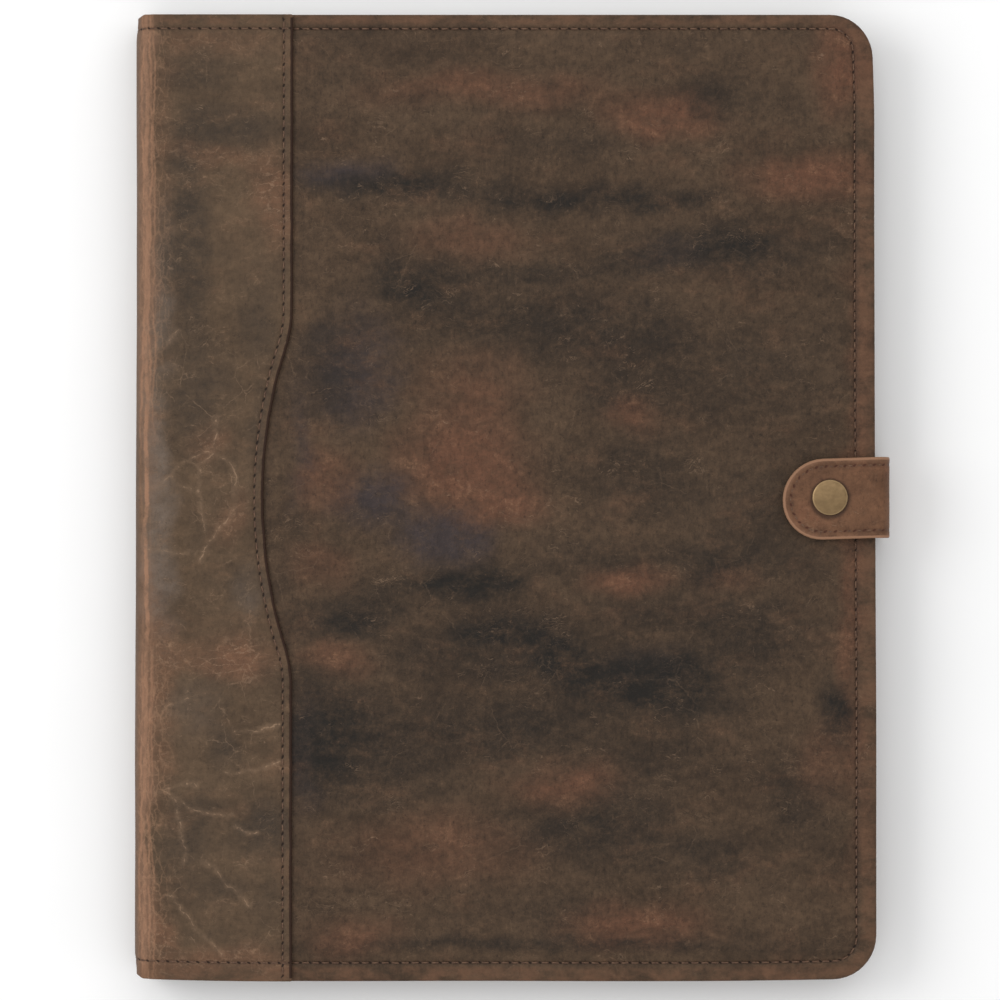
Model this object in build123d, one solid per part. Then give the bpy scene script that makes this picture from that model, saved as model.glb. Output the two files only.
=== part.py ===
from build123d import *
import os

# A leather portfolio case lying closed on its back cover: a book-style writing case
# with a wide soft spine at -X, three open sides, a snap tab round the fore edge at +X,
# and a writing pad in the pocket of its back cover. The head of the case is at +Y.
# One hide makes the back, the spine and a flap with a scooped edge on the front. It is
# cut here at its two folds, and each fold is a piece of its own that bends.
# The origin is the centre of the back cover's outer face. Millimetres, +Z up.

os.makedirs("parts", exist_ok=True)

# Driving dimensions
CASE_WIDTH = 260.0
CASE_HEIGHT = 340.0
INNER_SPACE = 16.0
LEATHER = 1.4
BOARD = 1.8
LINING = 0.8
CORNER_RADIUS = 15.0
HEM_WIDTH = 9.0
FIT_GAP = 0.2

# Seams
SEAM_HEAD = 5.0
SEAM_FOOT = 6.5
SEAM_FORE_EDGE = 7.0
SEAM_CORNER = 6.0
STITCH_PITCH = 3.5
STITCH_LENGTH = 2.6
STITCH_WIDTH = 0.7
STITCH_SINK = 0.3
GROOVE_WIDTH = 1.3

# Spine folds: the outer hide turns through a quarter circle at each
FOLD_RADIUS = 5.0
LINING_FOLD_RADIUS = 1.8

# Flap on the front, with a shallow scoop in its edge
FLAP_REACH = 55.2
SCOOP_DEPTH = 10.2
SCOOP_RADIUS = 175.0
SHOULDER_RADIUS = 40.0
FLAP_SEAM_INSET = 3.4

# Snap tab
TAB_WIDTH = 28.5
TAB_LEATHER = 1.0
TAB_LINING = 0.8
TAB_OVERHANG = 5.2
TAB_TIP_REACH = 32.6
TAB_BEND_RADIUS = 4.6
TAB_LIFT = 2.7
TAB_ROOT_LENGTH = 18.0
TAB_SEAM_INSET = 3.0

# Snap fastener
SNAP_INSET = 16.0
CAP_RADIUS = 6.25
CAP_HEIGHT = 1.3
RIVET_RADIUS = 1.2
FLANGE_RADIUS = 4.8
FLANGE = 0.5
POST_RISE = 1.2
STUD_RADIUS = 2.4
STUD_HEIGHT = 2.2
STUD_LIP = 0.9
STUD_WAIST = 0.3
STUD_ROUNDING = 0.4
SOCKET_RADIUS = 5.2
SOCKET_HEIGHT = 2.0
SOCKET_FLOOR = 0.3
SOCKET_CLEARANCE = 0.3
SPRING_WIRE = 0.24
SPRING_LIFT = 0.65
SPRING_GROOVE_DEPTH = 0.55
SPRING_GROOVE_HEIGHT = 0.7

# Pockets inside
PAD_POCKET_LEFT = -104.0
PAD_POCKET_MOUTH = 60.0
PAD_POCKET_GAP = 1.3
DOCUMENT_POCKET_LEFT = -103.0
DOCUMENT_POCKET_MOUTH = 110.0
DOCUMENT_POCKET_GAP = 1.0
POCKET_LEATHER = 1.0
WELT_WIDTH = 6.0
MOUTH_SCOOP_RADIUS = 260.0
MOUTH_SCOOP_DEPTH = 12.0
CARD_SLOT_LEFT = 10.0
CARD_SLOT_WIDTH = 98.0
CARD_SLOT_FOOT = -150.0
CARD_SLOT_MOUTHS = {"upper": -65.0, "middle": -80.0, "lower": -95.0}
CARD_SLOT_LEATHER = 0.7
CARD_SLOT_GAP = 0.45
CARD_WELT_WIDTH = 4.0

# Pen loop
PEN_LOOP_BORE = 4.8
PEN_LOOP_WALL = 1.0
PEN_LOOP_X = -112.0
PEN_LOOP_FOOT_Y = 30.0
PEN_LOOP_LENGTH = 45.0

# Writing pad
PAD_WIDTH = 216.0
PAD_LENGTH = 298.0
PAD_LEFT = -98.0
PAD_FOOT = -158.0
PAD_CARD = 0.9
PAD_PAPER = 5.0
PAD_BINDING_DEPTH = 13.0
PAD_TAPE = 0.2
PAD_CLEARANCE = 0.3

# Places worked out from the above
HALF_WIDTH = CASE_WIDTH / 2
HALF_HEIGHT = CASE_HEIGHT / 2
FOLD_X = -HALF_WIDTH + FOLD_RADIUS
BACK_BOARD_Z = LEATHER
BACK_LINING_Z = BACK_BOARD_Z + BOARD
INSIDE_Z = BACK_LINING_Z + LINING
FRONT_LINING_Z = INSIDE_Z + INNER_SPACE
FRONT_BOARD_Z = FRONT_LINING_Z + LINING
FRONT_LEATHER_Z = FRONT_BOARD_Z + BOARD
FRONT_TOP_Z = FRONT_LEATHER_Z + LEATHER
FLAP_TOP_Z = FRONT_TOP_Z + LEATHER
SPINE_FOOT_Z = FOLD_RADIUS
SPINE_HEAD_Z = FLAP_TOP_Z - FOLD_RADIUS
LINING_HEAD_Z = FRONT_BOARD_Z - LINING_FOLD_RADIUS
FLAP_EDGE_X = -HALF_WIDTH + FLAP_REACH
SEAM_HEAD_Y = HALF_HEIGHT - SEAM_HEAD
SEAM_FOOT_Y = -HALF_HEIGHT + SEAM_FOOT
SEAM_FORE_X = HALF_WIDTH - SEAM_FORE_EDGE
TAB_THICKNESS = TAB_LEATHER + TAB_LINING
TAB_OUTER_X = HALF_WIDTH + TAB_OVERHANG
TAB_BEND_X = TAB_OUTER_X - TAB_BEND_RADIUS
TAB_LOWER_Z = BACK_BOARD_Z + TAB_BEND_RADIUS
TONGUE_Z = FRONT_TOP_Z + TAB_LIFT
TONGUE_TOP_Z = TONGUE_Z + TAB_THICKNESS
TAB_UPPER_Z = TONGUE_TOP_Z - TAB_BEND_RADIUS
TAB_TIP_X = HALF_WIDTH - TAB_TIP_REACH
SNAP_X = HALF_WIDTH - SNAP_INSET


def block(x0, x1, y0, y1, z0, z1):
    """A rectangular solid between two corners."""
    centre = ((x0 + x1) / 2, (y0 + y1) / 2, (z0 + z1) / 2)
    return Pos(*centre) * Box(x1 - x0, y1 - y0, z1 - z0)


def raised(outline, z0, thickness):
    """A flat piece cut to an outline, lying with its lower face at z0."""
    return extrude(Pos(0, 0, z0) * outline, thickness)


def disc(radius, z0, z1):
    """A round solid on the snap's axis."""
    return Pos(SNAP_X, 0, (z0 + z1) / 2) * Cylinder(radius, z1 - z0)


def ring(radius, hole, z0, z1):
    """A washer or tube on the snap's axis."""
    return disc(radius, z0, z1) - disc(hole, z0, z1)


def cover_outline(left, inset=0.0):
    """Plan of a cover from x = left to the fore edge, pulled in on its three open sides."""
    right = HALF_WIDTH - inset
    half = HALF_HEIGHT - inset
    sheet = Pos((left + right) / 2, 0) * Rectangle(right - left, 2 * half)
    return fillet(sheet.vertices().group_by(Axis.X)[-1], CORNER_RADIUS - inset)


def flap_outline(inset=0.0):
    """Plan of the flap, with its scooped edge pulled back by inset."""
    right = FLAP_EDGE_X - inset
    strip = Pos((FOLD_X + right) / 2, 0) * Rectangle(right - FOLD_X, CASE_HEIGHT)
    scoop = Pos(FLAP_EDGE_X - SCOOP_DEPTH + SCOOP_RADIUS, 0) * Circle(SCOOP_RADIUS + inset)
    outline = strip - scoop
    shoulders = [v for v in outline.vertices() if abs(v.Y) < HALF_HEIGHT / 2]
    return fillet(shoulders, SHOULDER_RADIUS - inset)


def cover_seam(start_x):
    """Seam round the three open sides of a cover, from start_x at the head to start_x at the foot."""
    return FilletPolyline(
        (start_x, SEAM_HEAD_Y),
        (SEAM_FORE_X, SEAM_HEAD_Y),
        (SEAM_FORE_X, SEAM_FOOT_Y),
        (start_x, SEAM_FOOT_Y),
        radius=SEAM_CORNER,
    )


def flap_seam():
    """Seam that follows the flap's scooped edge from the foot to the head."""
    edges = [e for e in flap_outline(FLAP_SEAM_INSET).edges() if e.center().X > FLAP_EDGE_X - 20]
    return Wire([e for e in edges if abs(e.center().Y) < HALF_HEIGHT - 1])


def groove(path, z, facing):
    """The channel that a seam lies in, cut into a face at height z that looks up (1) or down (-1)."""
    depth = STITCH_SINK * facing
    return extrude(Pos(0, 0, z) * trace(path, GROOVE_WIDTH), -depth)


def stitches(path, z, facing):
    """Separate stitches along a path, flush with the face at height z that looks up (1) or down (-1)."""
    count = int(path.length // STITCH_PITCH)
    margin = (path.length - count * STITCH_PITCH) / 2
    made = []
    for i in range(count):
        share = (margin + (i + 0.5) * STITCH_PITCH) / path.length
        place = path @ share
        level = z - facing * STITCH_SINK / 2
        plane = Plane(origin=(place.X, place.Y, level), x_dir=path % share, z_dir=(0, 0, 1))
        made.append(plane * Box(STITCH_LENGTH, STITCH_WIDTH, STITCH_SINK))
    return made


def fold(x, z, outer, thickness, x_side, z_side, width):
    """A quarter turn of sheet about a line through (x, z) along Y, in the quadrant of the two signs."""
    quadrant = Pos(x_side * outer / 2, z_side * outer / 2) * Rectangle(outer, outer)
    arc = (Circle(outer) - Circle(outer - thickness)) & quadrant
    return extrude(Plane.XZ * (Pos(x, z) * arc), width / 2, both=True)


def group(*solids):
    """Separate solids that share one node."""
    flat = [s for item in solids for s in (item if isinstance(item, list) else [item])]
    return Compound(children=[Solid(s.solid().wrapped) for s in flat])


# Back cover: hide, board and lining, with the hide's hem turned in round the board
def back_leather():
    hide = raised(cover_outline(FOLD_X), 0, LEATHER)
    hem = cover_outline(FOLD_X) - cover_outline(FOLD_X, HEM_WIDTH)
    notch = tab_root_space()
    return hide + (raised(hem, BACK_BOARD_Z, BOARD) - notch) - groove(cover_seam(FOLD_X), 0, -1)


def tab_root_space():
    """The room between hide and lining that the tab's root takes, with clearance."""
    half = TAB_WIDTH / 2 + FIT_GAP
    inner = HALF_WIDTH - TAB_ROOT_LENGTH - FIT_GAP
    return block(inner, HALF_WIDTH + 1, -half, half, BACK_BOARD_Z, BACK_LINING_Z)


def back_board():
    return raised(cover_outline(FOLD_X + FIT_GAP, HEM_WIDTH + FIT_GAP), BACK_BOARD_Z, BOARD) - tab_root_space()


def back_lining():
    return raised(cover_outline(FOLD_X), BACK_LINING_Z, LINING)


def back_seam_thread():
    return group(stitches(cover_seam(FOLD_X + 1), 0, -1))


def tab_root(z, thickness):
    """One layer of the strap, glued between the hide and the lining."""
    half = TAB_WIDTH / 2
    return block(HALF_WIDTH - TAB_ROOT_LENGTH, TAB_BEND_X, -half, half, z, z + thickness)


# Pocket that holds the pad's card back, on the inside of the back cover
def pocket_panel(left, mouth, z, thickness):
    """Flat panel of a pocket that reaches the cover's foot and fore edge."""
    outline = cover_outline(left) & (Pos(0, mouth - CASE_HEIGHT) * Rectangle(2 * CASE_WIDTH, 2 * CASE_HEIGHT))
    return raised(outline, z, thickness)


def pocket_welts(left, mouth, z, thickness):
    """Turned edges that space a pocket panel from the lining: gutter side, foot and fore edge."""
    inner_x = HALF_WIDTH - HEM_WIDTH
    inner_y = -HALF_HEIGHT + HEM_WIDTH
    whole = pocket_panel(left, mouth, z, thickness)
    gutter = block(left, left + WELT_WIDTH, inner_y, mouth, z, z + thickness)
    foot = whole & block(left, inner_x, -HALF_HEIGHT, inner_y, z, z + thickness)
    fore = whole & block(inner_x, HALF_WIDTH, -HALF_HEIGHT, mouth, z, z + thickness)
    return group(gutter, foot, fore)


def pad_pocket():
    z = INSIDE_Z + PAD_POCKET_GAP
    panel = pocket_panel(PAD_POCKET_LEFT, PAD_POCKET_MOUTH, z, POCKET_LEATHER)
    return panel - groove(pad_pocket_seam(), z + POCKET_LEATHER, 1)


def pad_pocket_seam():
    x = PAD_POCKET_LEFT + WELT_WIDTH / 2
    return Line((x, -HALF_HEIGHT + SEAM_FOOT), (x, PAD_POCKET_MOUTH - 1))


def pad_pocket_thread():
    return group(stitches(pad_pocket_seam(), INSIDE_Z + PAD_POCKET_GAP + POCKET_LEATHER, 1))


def pen_loop():
    """Strip of leather rolled into a tube, its foot lying on the lining beside the pad pocket."""
    outer = PEN_LOOP_BORE + PEN_LOOP_WALL
    centre_z = INSIDE_Z + outer
    middle_y = PEN_LOOP_FOOT_Y + PEN_LOOP_LENGTH / 2
    foot_half = (PAD_POCKET_LEFT - FIT_GAP - PEN_LOOP_X) / 2
    foot = Pos(PEN_LOOP_X + foot_half, INSIDE_Z + PEN_LOOP_WALL / 2) * Rectangle(2 * foot_half, PEN_LOOP_WALL)
    profile = Pos(PEN_LOOP_X, centre_z) * Circle(outer) + foot
    profile -= Pos(PEN_LOOP_X, centre_z) * Circle(PEN_LOOP_BORE)
    return Pos(0, middle_y, 0) * extrude(Plane.XZ * profile, PEN_LOOP_LENGTH / 2, both=True)


# Spine: hide, stiffening strip and lining stand between the two folds
def spine_leather():
    hide = block(-HALF_WIDTH, -HALF_WIDTH + LEATHER, -HALF_HEIGHT, HALF_HEIGHT, SPINE_FOOT_Z, SPINE_HEAD_Z)
    for y in (SEAM_HEAD_Y, SEAM_FOOT_Y):
        half = GROOVE_WIDTH / 2
        hide -= block(-HALF_WIDTH, -HALF_WIDTH + STITCH_SINK, y - half, y + half, SPINE_FOOT_Z, SPINE_HEAD_Z)
    return hide


def spine_board():
    x = -HALF_WIDTH + LEATHER
    half = HALF_HEIGHT - HEM_WIDTH
    return block(x, x + BOARD, -half, half, SPINE_FOOT_Z, LINING_HEAD_Z)


def spine_lining():
    x = FOLD_X - LINING_FOLD_RADIUS
    return block(x, x + LINING, -HALF_HEIGHT, HALF_HEIGHT, SPINE_FOOT_Z, LINING_HEAD_Z)


def standing_stitches(x, facing, ys, z0, z1):
    """Stitches up a standing face at x that looks along +X (1) or -X (-1), one column at each y."""
    count = int((z1 - z0) // STITCH_PITCH)
    margin = (z1 - z0 - count * STITCH_PITCH) / 2
    inner, outer = sorted((x, x - facing * STITCH_SINK))
    made = []
    for y in ys:
        for i in range(count):
            z = z0 + margin + (i + 0.5) * STITCH_PITCH
            half = STITCH_WIDTH / 2
            long_half = STITCH_LENGTH / 2
            made.append(block(inner, outer, y - half, y + half, z - long_half, z + long_half))
    return made


def spine_seam_thread():
    return group(standing_stitches(-HALF_WIDTH, -1, (SEAM_HEAD_Y, SEAM_FOOT_Y), SPINE_FOOT_Z, SPINE_HEAD_Z))


def spine_fold_back():
    return fold(FOLD_X, SPINE_FOOT_Z, FOLD_RADIUS, LEATHER, -1, -1, CASE_HEIGHT)


def spine_fold_front():
    return fold(FOLD_X, SPINE_HEAD_Z, FOLD_RADIUS, LEATHER, -1, 1, CASE_HEIGHT)


def lining_fold_back():
    return fold(FOLD_X, SPINE_FOOT_Z, LINING_FOLD_RADIUS, LINING, -1, -1, CASE_HEIGHT)


def lining_fold_front():
    return fold(FOLD_X, LINING_HEAD_Z, LINING_FOLD_RADIUS, LINING, -1, 1, CASE_HEIGHT)


# Front cover: lining, board and front panel, with the flap sewn over it by the spine
def front_leather():
    panel = raised(cover_outline(FOLD_X), FRONT_LEATHER_Z, LEATHER)
    hem = cover_outline(FOLD_X) - cover_outline(FOLD_X, HEM_WIDTH)
    panel += raised(hem, FRONT_BOARD_Z, BOARD)
    panel -= groove(cover_seam(FLAP_EDGE_X), FRONT_TOP_Z, 1)
    return panel - disc(RIVET_RADIUS + FIT_GAP, FRONT_BOARD_Z, FRONT_TOP_Z)


def front_board():
    board = raised(cover_outline(FOLD_X + FIT_GAP, HEM_WIDTH + FIT_GAP), FRONT_BOARD_Z, BOARD)
    return board - disc(RIVET_RADIUS + FIT_GAP, FRONT_BOARD_Z, FRONT_LEATHER_Z)


def front_lining():
    lining = raised(cover_outline(FOLD_X), FRONT_LINING_Z, LINING)
    return lining - disc(RIVET_RADIUS + FIT_GAP, FRONT_LINING_Z, FRONT_BOARD_Z)


def front_flap():
    flap = raised(flap_outline(), FRONT_TOP_Z, LEATHER)
    for path in (flap_seam(), *flap_end_seams(0)):
        flap -= groove(path, FLAP_TOP_Z, 1)
    return flap


def flap_end_seams(margin):
    """The cover's seam where it crosses the flap, at the head and at the foot."""
    right = FLAP_EDGE_X - margin
    return [Line((FOLD_X + margin, y), (right, y)) for y in (SEAM_HEAD_Y, SEAM_FOOT_Y)]


def front_seam_thread():
    panel = stitches(cover_seam(FLAP_EDGE_X + 1), FRONT_TOP_Z, 1)
    ends = [stitches(path, FLAP_TOP_Z, 1) for path in flap_end_seams(5)]
    return group(panel, *ends)


def flap_seam_thread():
    made = stitches(flap_seam(), FLAP_TOP_Z, 1)
    clear = [s for s in made if SEAM_FOOT_Y + 3 < s.center().Y < SEAM_HEAD_Y - 3]
    return group(clear)


# Pockets on the inside of the front cover
def document_pocket():
    z = FRONT_LINING_Z - DOCUMENT_POCKET_GAP - POCKET_LEATHER
    panel = pocket_panel(DOCUMENT_POCKET_LEFT, DOCUMENT_POCKET_MOUTH, z, POCKET_LEATHER)
    middle_x = (DOCUMENT_POCKET_LEFT + HALF_WIDTH) / 2
    dip_y = DOCUMENT_POCKET_MOUTH - MOUTH_SCOOP_DEPTH + MOUTH_SCOOP_RADIUS
    dip = Pos(middle_x, dip_y) * Circle(MOUTH_SCOOP_RADIUS)
    return panel - raised(dip, z, POCKET_LEATHER) - groove(document_pocket_seam(), z, -1)


def document_pocket_welts():
    z = FRONT_LINING_Z - DOCUMENT_POCKET_GAP
    return pocket_welts(DOCUMENT_POCKET_LEFT, DOCUMENT_POCKET_MOUTH, z, DOCUMENT_POCKET_GAP)


def document_pocket_seam():
    x = DOCUMENT_POCKET_LEFT + WELT_WIDTH / 2
    return Line((x, -HALF_HEIGHT + SEAM_FOOT), (x, DOCUMENT_POCKET_MOUTH - 1))


def document_pocket_thread():
    z = FRONT_LINING_Z - DOCUMENT_POCKET_GAP - POCKET_LEATHER
    return group(stitches(document_pocket_seam(), z, -1))


def card_slot_z(layer):
    """Lower face of a card slot's panel: layer 0 lies against the document pocket."""
    pocket_z = FRONT_LINING_Z - DOCUMENT_POCKET_GAP - POCKET_LEATHER
    return pocket_z - (layer + 1) * (CARD_SLOT_LEATHER + CARD_SLOT_GAP)


def card_slot(layer, mouth):
    right = CARD_SLOT_LEFT + CARD_SLOT_WIDTH
    z = card_slot_z(layer)
    return block(CARD_SLOT_LEFT, right, CARD_SLOT_FOOT, mouth, z, z + CARD_SLOT_LEATHER)


def card_slot_welts():
    """Narrow turned edges at both sides and the foot of each card slot."""
    right = CARD_SLOT_LEFT + CARD_SLOT_WIDTH
    made = []
    for layer, mouth in enumerate(CARD_SLOT_MOUTHS.values()):
        z0 = card_slot_z(layer) + CARD_SLOT_LEATHER
        z1 = z0 + CARD_SLOT_GAP
        foot_top = CARD_SLOT_FOOT + CARD_WELT_WIDTH
        made.append(block(CARD_SLOT_LEFT, right, CARD_SLOT_FOOT, foot_top, z0, z1))
        for x in (CARD_SLOT_LEFT, right - CARD_WELT_WIDTH):
            made.append(block(x, x + CARD_WELT_WIDTH, foot_top, mouth, z0, z1))
    return group(made)


# Snap tab: root in the back cover, riser round the fore edge, tongue over the front cover
def riser(x0, x1):
    half = TAB_WIDTH / 2
    return block(x0, x1, -half, half, TAB_LOWER_Z, TAB_UPPER_Z)


def tab_riser_leather():
    strap = riser(TAB_OUTER_X - TAB_LEATHER, TAB_OUTER_X)
    for y in tab_seam_rows():
        half = GROOVE_WIDTH / 2
        strap -= block(TAB_OUTER_X - STITCH_SINK, TAB_OUTER_X, y - half, y + half, TAB_LOWER_Z, TAB_UPPER_Z)
    return strap


def tab_riser_lining():
    return riser(TAB_OUTER_X - TAB_THICKNESS, TAB_OUTER_X - TAB_LEATHER)


def tab_seam_rows():
    row = TAB_WIDTH / 2 - TAB_SEAM_INSET
    return (-row, row)


def tab_riser_thread():
    return group(standing_stitches(TAB_OUTER_X, 1, tab_seam_rows(), TAB_LOWER_Z, TAB_UPPER_Z))


def tongue_outline():
    """Plan of the tongue: straight from the bend, with a half-round tip."""
    radius = TAB_WIDTH / 2
    tip = TAB_TIP_X + radius
    straight = Pos((tip + TAB_BEND_X) / 2, 0) * Rectangle(TAB_BEND_X - tip, TAB_WIDTH)
    return straight + Pos(tip, 0) * Circle(radius)


def tongue_seam(margin):
    """Seam round the tongue, in from its edge, open towards the bend."""
    row = TAB_WIDTH / 2 - TAB_SEAM_INSET
    tip = TAB_TIP_X + TAB_WIDTH / 2
    upper = Line((TAB_BEND_X - margin, row), (tip, row))
    turn = ThreePointArc((tip, row), (tip - row, 0), (tip, -row))
    lower = Line((tip, -row), (TAB_BEND_X - margin, -row))
    return Wire([upper, turn, lower])


def tab_tongue_leather():
    z = TONGUE_Z + TAB_LINING
    strap = raised(tongue_outline(), z, TAB_LEATHER) - groove(tongue_seam(0), TONGUE_TOP_Z, 1)
    return strap - disc(RIVET_RADIUS + FIT_GAP, z, TONGUE_TOP_Z)


def tab_tongue_lining():
    strap = raised(tongue_outline(), TONGUE_Z, TAB_LINING)
    return strap - disc(RIVET_RADIUS + FIT_GAP, TONGUE_Z, TONGUE_Z + TAB_LINING)


def tab_tongue_thread():
    return group(stitches(tongue_seam(1), TONGUE_TOP_Z, 1))


def tab_bend(z, z_side):
    """Both layers of the strap where it turns: the leather outside, the lining inside."""
    leather = fold(TAB_BEND_X, z, TAB_BEND_RADIUS, TAB_LEATHER, 1, z_side, TAB_WIDTH)
    lining = fold(TAB_BEND_X, z, TAB_BEND_RADIUS - TAB_LEATHER, TAB_LINING, 1, z_side, TAB_WIDTH)
    return group(leather, lining)


# Snap fastener: stud and post on the front cover, socket, spring and cap on the tongue
def snap_post():
    """Flanged post that comes up through the front cover and holds the stud."""
    flange = disc(FLANGE_RADIUS, FRONT_LINING_Z - FLANGE, FRONT_LINING_Z)
    return flange + disc(RIVET_RADIUS, FRONT_LINING_Z, FRONT_TOP_Z + POST_RISE)


def snap_stud():
    """Base flange with a waisted nipple, hollow underneath for the post."""
    top = FRONT_TOP_Z + STUD_HEIGHT
    flange = disc(FLANGE_RADIUS, FRONT_TOP_Z, FRONT_TOP_Z + FLANGE)
    neck = disc(STUD_RADIUS - STUD_WAIST, FRONT_TOP_Z + FLANGE, top - STUD_LIP)
    lip = disc(STUD_RADIUS, top - STUD_LIP, top)
    lip = fillet(lip.edges().sort_by(Axis.Z)[-1], STUD_ROUNDING)
    return flange + neck + lip - disc(RIVET_RADIUS, FRONT_TOP_Z, FRONT_TOP_Z + POST_RISE)


def snap_socket():
    """Cup under the tongue, with a groove inside for its spring."""
    foot = TONGUE_Z - SOCKET_HEIGHT
    floor = TONGUE_Z - SOCKET_FLOOR
    bore = STUD_RADIUS + SOCKET_CLEARANCE
    cup = ring(SOCKET_RADIUS, bore, foot, floor) + ring(SOCKET_RADIUS, RIVET_RADIUS, floor, TONGUE_Z)
    middle = foot + SPRING_LIFT
    half = SPRING_GROOVE_HEIGHT / 2
    return cup - disc(bore + SPRING_GROOVE_DEPTH, middle - half, middle + half)


def snap_spring():
    middle = STUD_RADIUS + SOCKET_CLEARANCE + SPRING_GROOVE_DEPTH / 2
    return Pos(SNAP_X, 0, TONGUE_Z - SOCKET_HEIGHT + SPRING_LIFT) * Torus(middle, SPRING_WIRE)


def snap_cap():
    """Shallow dome on top of the tongue, with the rivet that clinches the socket."""
    sphere_radius = (CAP_RADIUS**2 + CAP_HEIGHT**2) / (2 * CAP_HEIGHT)
    ball = Pos(SNAP_X, 0, TONGUE_TOP_Z + CAP_HEIGHT - sphere_radius) * Sphere(sphere_radius)
    dome = ball & disc(CAP_RADIUS, TONGUE_TOP_Z, TONGUE_TOP_Z + CAP_HEIGHT)
    return dome + disc(RIVET_RADIUS, TONGUE_Z - SOCKET_FLOOR, TONGUE_TOP_Z)


# Writing pad: card back in the pocket, paper over the pocket's panel, bound at the head
PAD_CARD_Z = INSIDE_Z + PAD_CLEARANCE
PAD_PAPER_Z = INSIDE_Z + PAD_POCKET_GAP + POCKET_LEATHER + PAD_CLEARANCE
PAD_HEAD = PAD_FOOT + PAD_LENGTH
PAD_RIGHT = PAD_LEFT + PAD_WIDTH


def pad_card():
    return block(PAD_LEFT, PAD_RIGHT, PAD_FOOT, PAD_HEAD, PAD_CARD_Z, PAD_CARD_Z + PAD_CARD)


def pad_paper():
    return block(PAD_LEFT, PAD_RIGHT, PAD_FOOT, PAD_HEAD, PAD_PAPER_Z, PAD_PAPER_Z + PAD_PAPER)


def pad_binding():
    """Bound head: a glued strip between card and paper, and tape over the end and the top sheet."""
    inner = PAD_HEAD - PAD_BINDING_DEPTH
    outer = PAD_HEAD + 2 * PAD_TAPE
    top = PAD_PAPER_Z + PAD_PAPER
    strip = block(PAD_LEFT, PAD_RIGHT, inner, outer, PAD_CARD_Z + PAD_CARD, PAD_PAPER_Z)
    end = block(PAD_LEFT, PAD_RIGHT, PAD_HEAD, outer, PAD_CARD_Z, top + PAD_TAPE)
    tape = block(PAD_LEFT, PAD_RIGHT, inner, outer, top, top + PAD_TAPE)
    return strip + end + tape


NODES = {
    "back_leather": back_leather,
    "back_board": back_board,
    "back_lining": back_lining,
    "back_seam_thread": back_seam_thread,
    "tab_root_leather": lambda: tab_root(BACK_BOARD_Z, TAB_LEATHER),
    "tab_root_lining": lambda: tab_root(BACK_BOARD_Z + TAB_LEATHER, TAB_LINING),
    "pad_pocket": pad_pocket,
    "pad_pocket_welts": lambda: pocket_welts(PAD_POCKET_LEFT, PAD_POCKET_MOUTH, INSIDE_Z, PAD_POCKET_GAP),
    "pad_pocket_thread": pad_pocket_thread,
    "pen_loop": pen_loop,
    "spine_leather": spine_leather,
    "spine_board": spine_board,
    "spine_lining": spine_lining,
    "spine_seam_thread": spine_seam_thread,
    "spine_fold_back": spine_fold_back,
    "spine_fold_front": spine_fold_front,
    "lining_fold_back": lining_fold_back,
    "lining_fold_front": lining_fold_front,
    "front_leather": front_leather,
    "front_board": front_board,
    "front_lining": front_lining,
    "front_flap": front_flap,
    "front_seam_thread": front_seam_thread,
    "flap_seam_thread": flap_seam_thread,
    "document_pocket": document_pocket,
    "document_pocket_welts": document_pocket_welts,
    "document_pocket_thread": document_pocket_thread,
    "card_slot_welts": card_slot_welts,
    "tab_riser_leather": tab_riser_leather,
    "tab_riser_lining": tab_riser_lining,
    "tab_riser_thread": tab_riser_thread,
    "tab_tongue_leather": tab_tongue_leather,
    "tab_tongue_lining": tab_tongue_lining,
    "tab_tongue_thread": tab_tongue_thread,
    "tab_bend_lower": lambda: tab_bend(TAB_LOWER_Z, -1),
    "tab_bend_upper": lambda: tab_bend(TAB_UPPER_Z, 1),
    "snap_post": snap_post,
    "snap_stud": snap_stud,
    "snap_socket": snap_socket,
    "snap_spring": snap_spring,
    "snap_cap": snap_cap,
    "pad_card": pad_card,
    "pad_paper": pad_paper,
    "pad_binding": pad_binding,
}
for order, (name, mouth_y) in enumerate(CARD_SLOT_MOUTHS.items()):
    NODES["card_slot_" + name] = lambda layer=order, mouth=mouth_y: card_slot(layer, mouth)

for node, make in NODES.items():
    export_step(make(), f"parts/{node}.step")
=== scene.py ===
import math

import bmesh
import bpy
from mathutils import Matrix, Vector, noise
from mathutils.kdtree import KDTree


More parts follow.
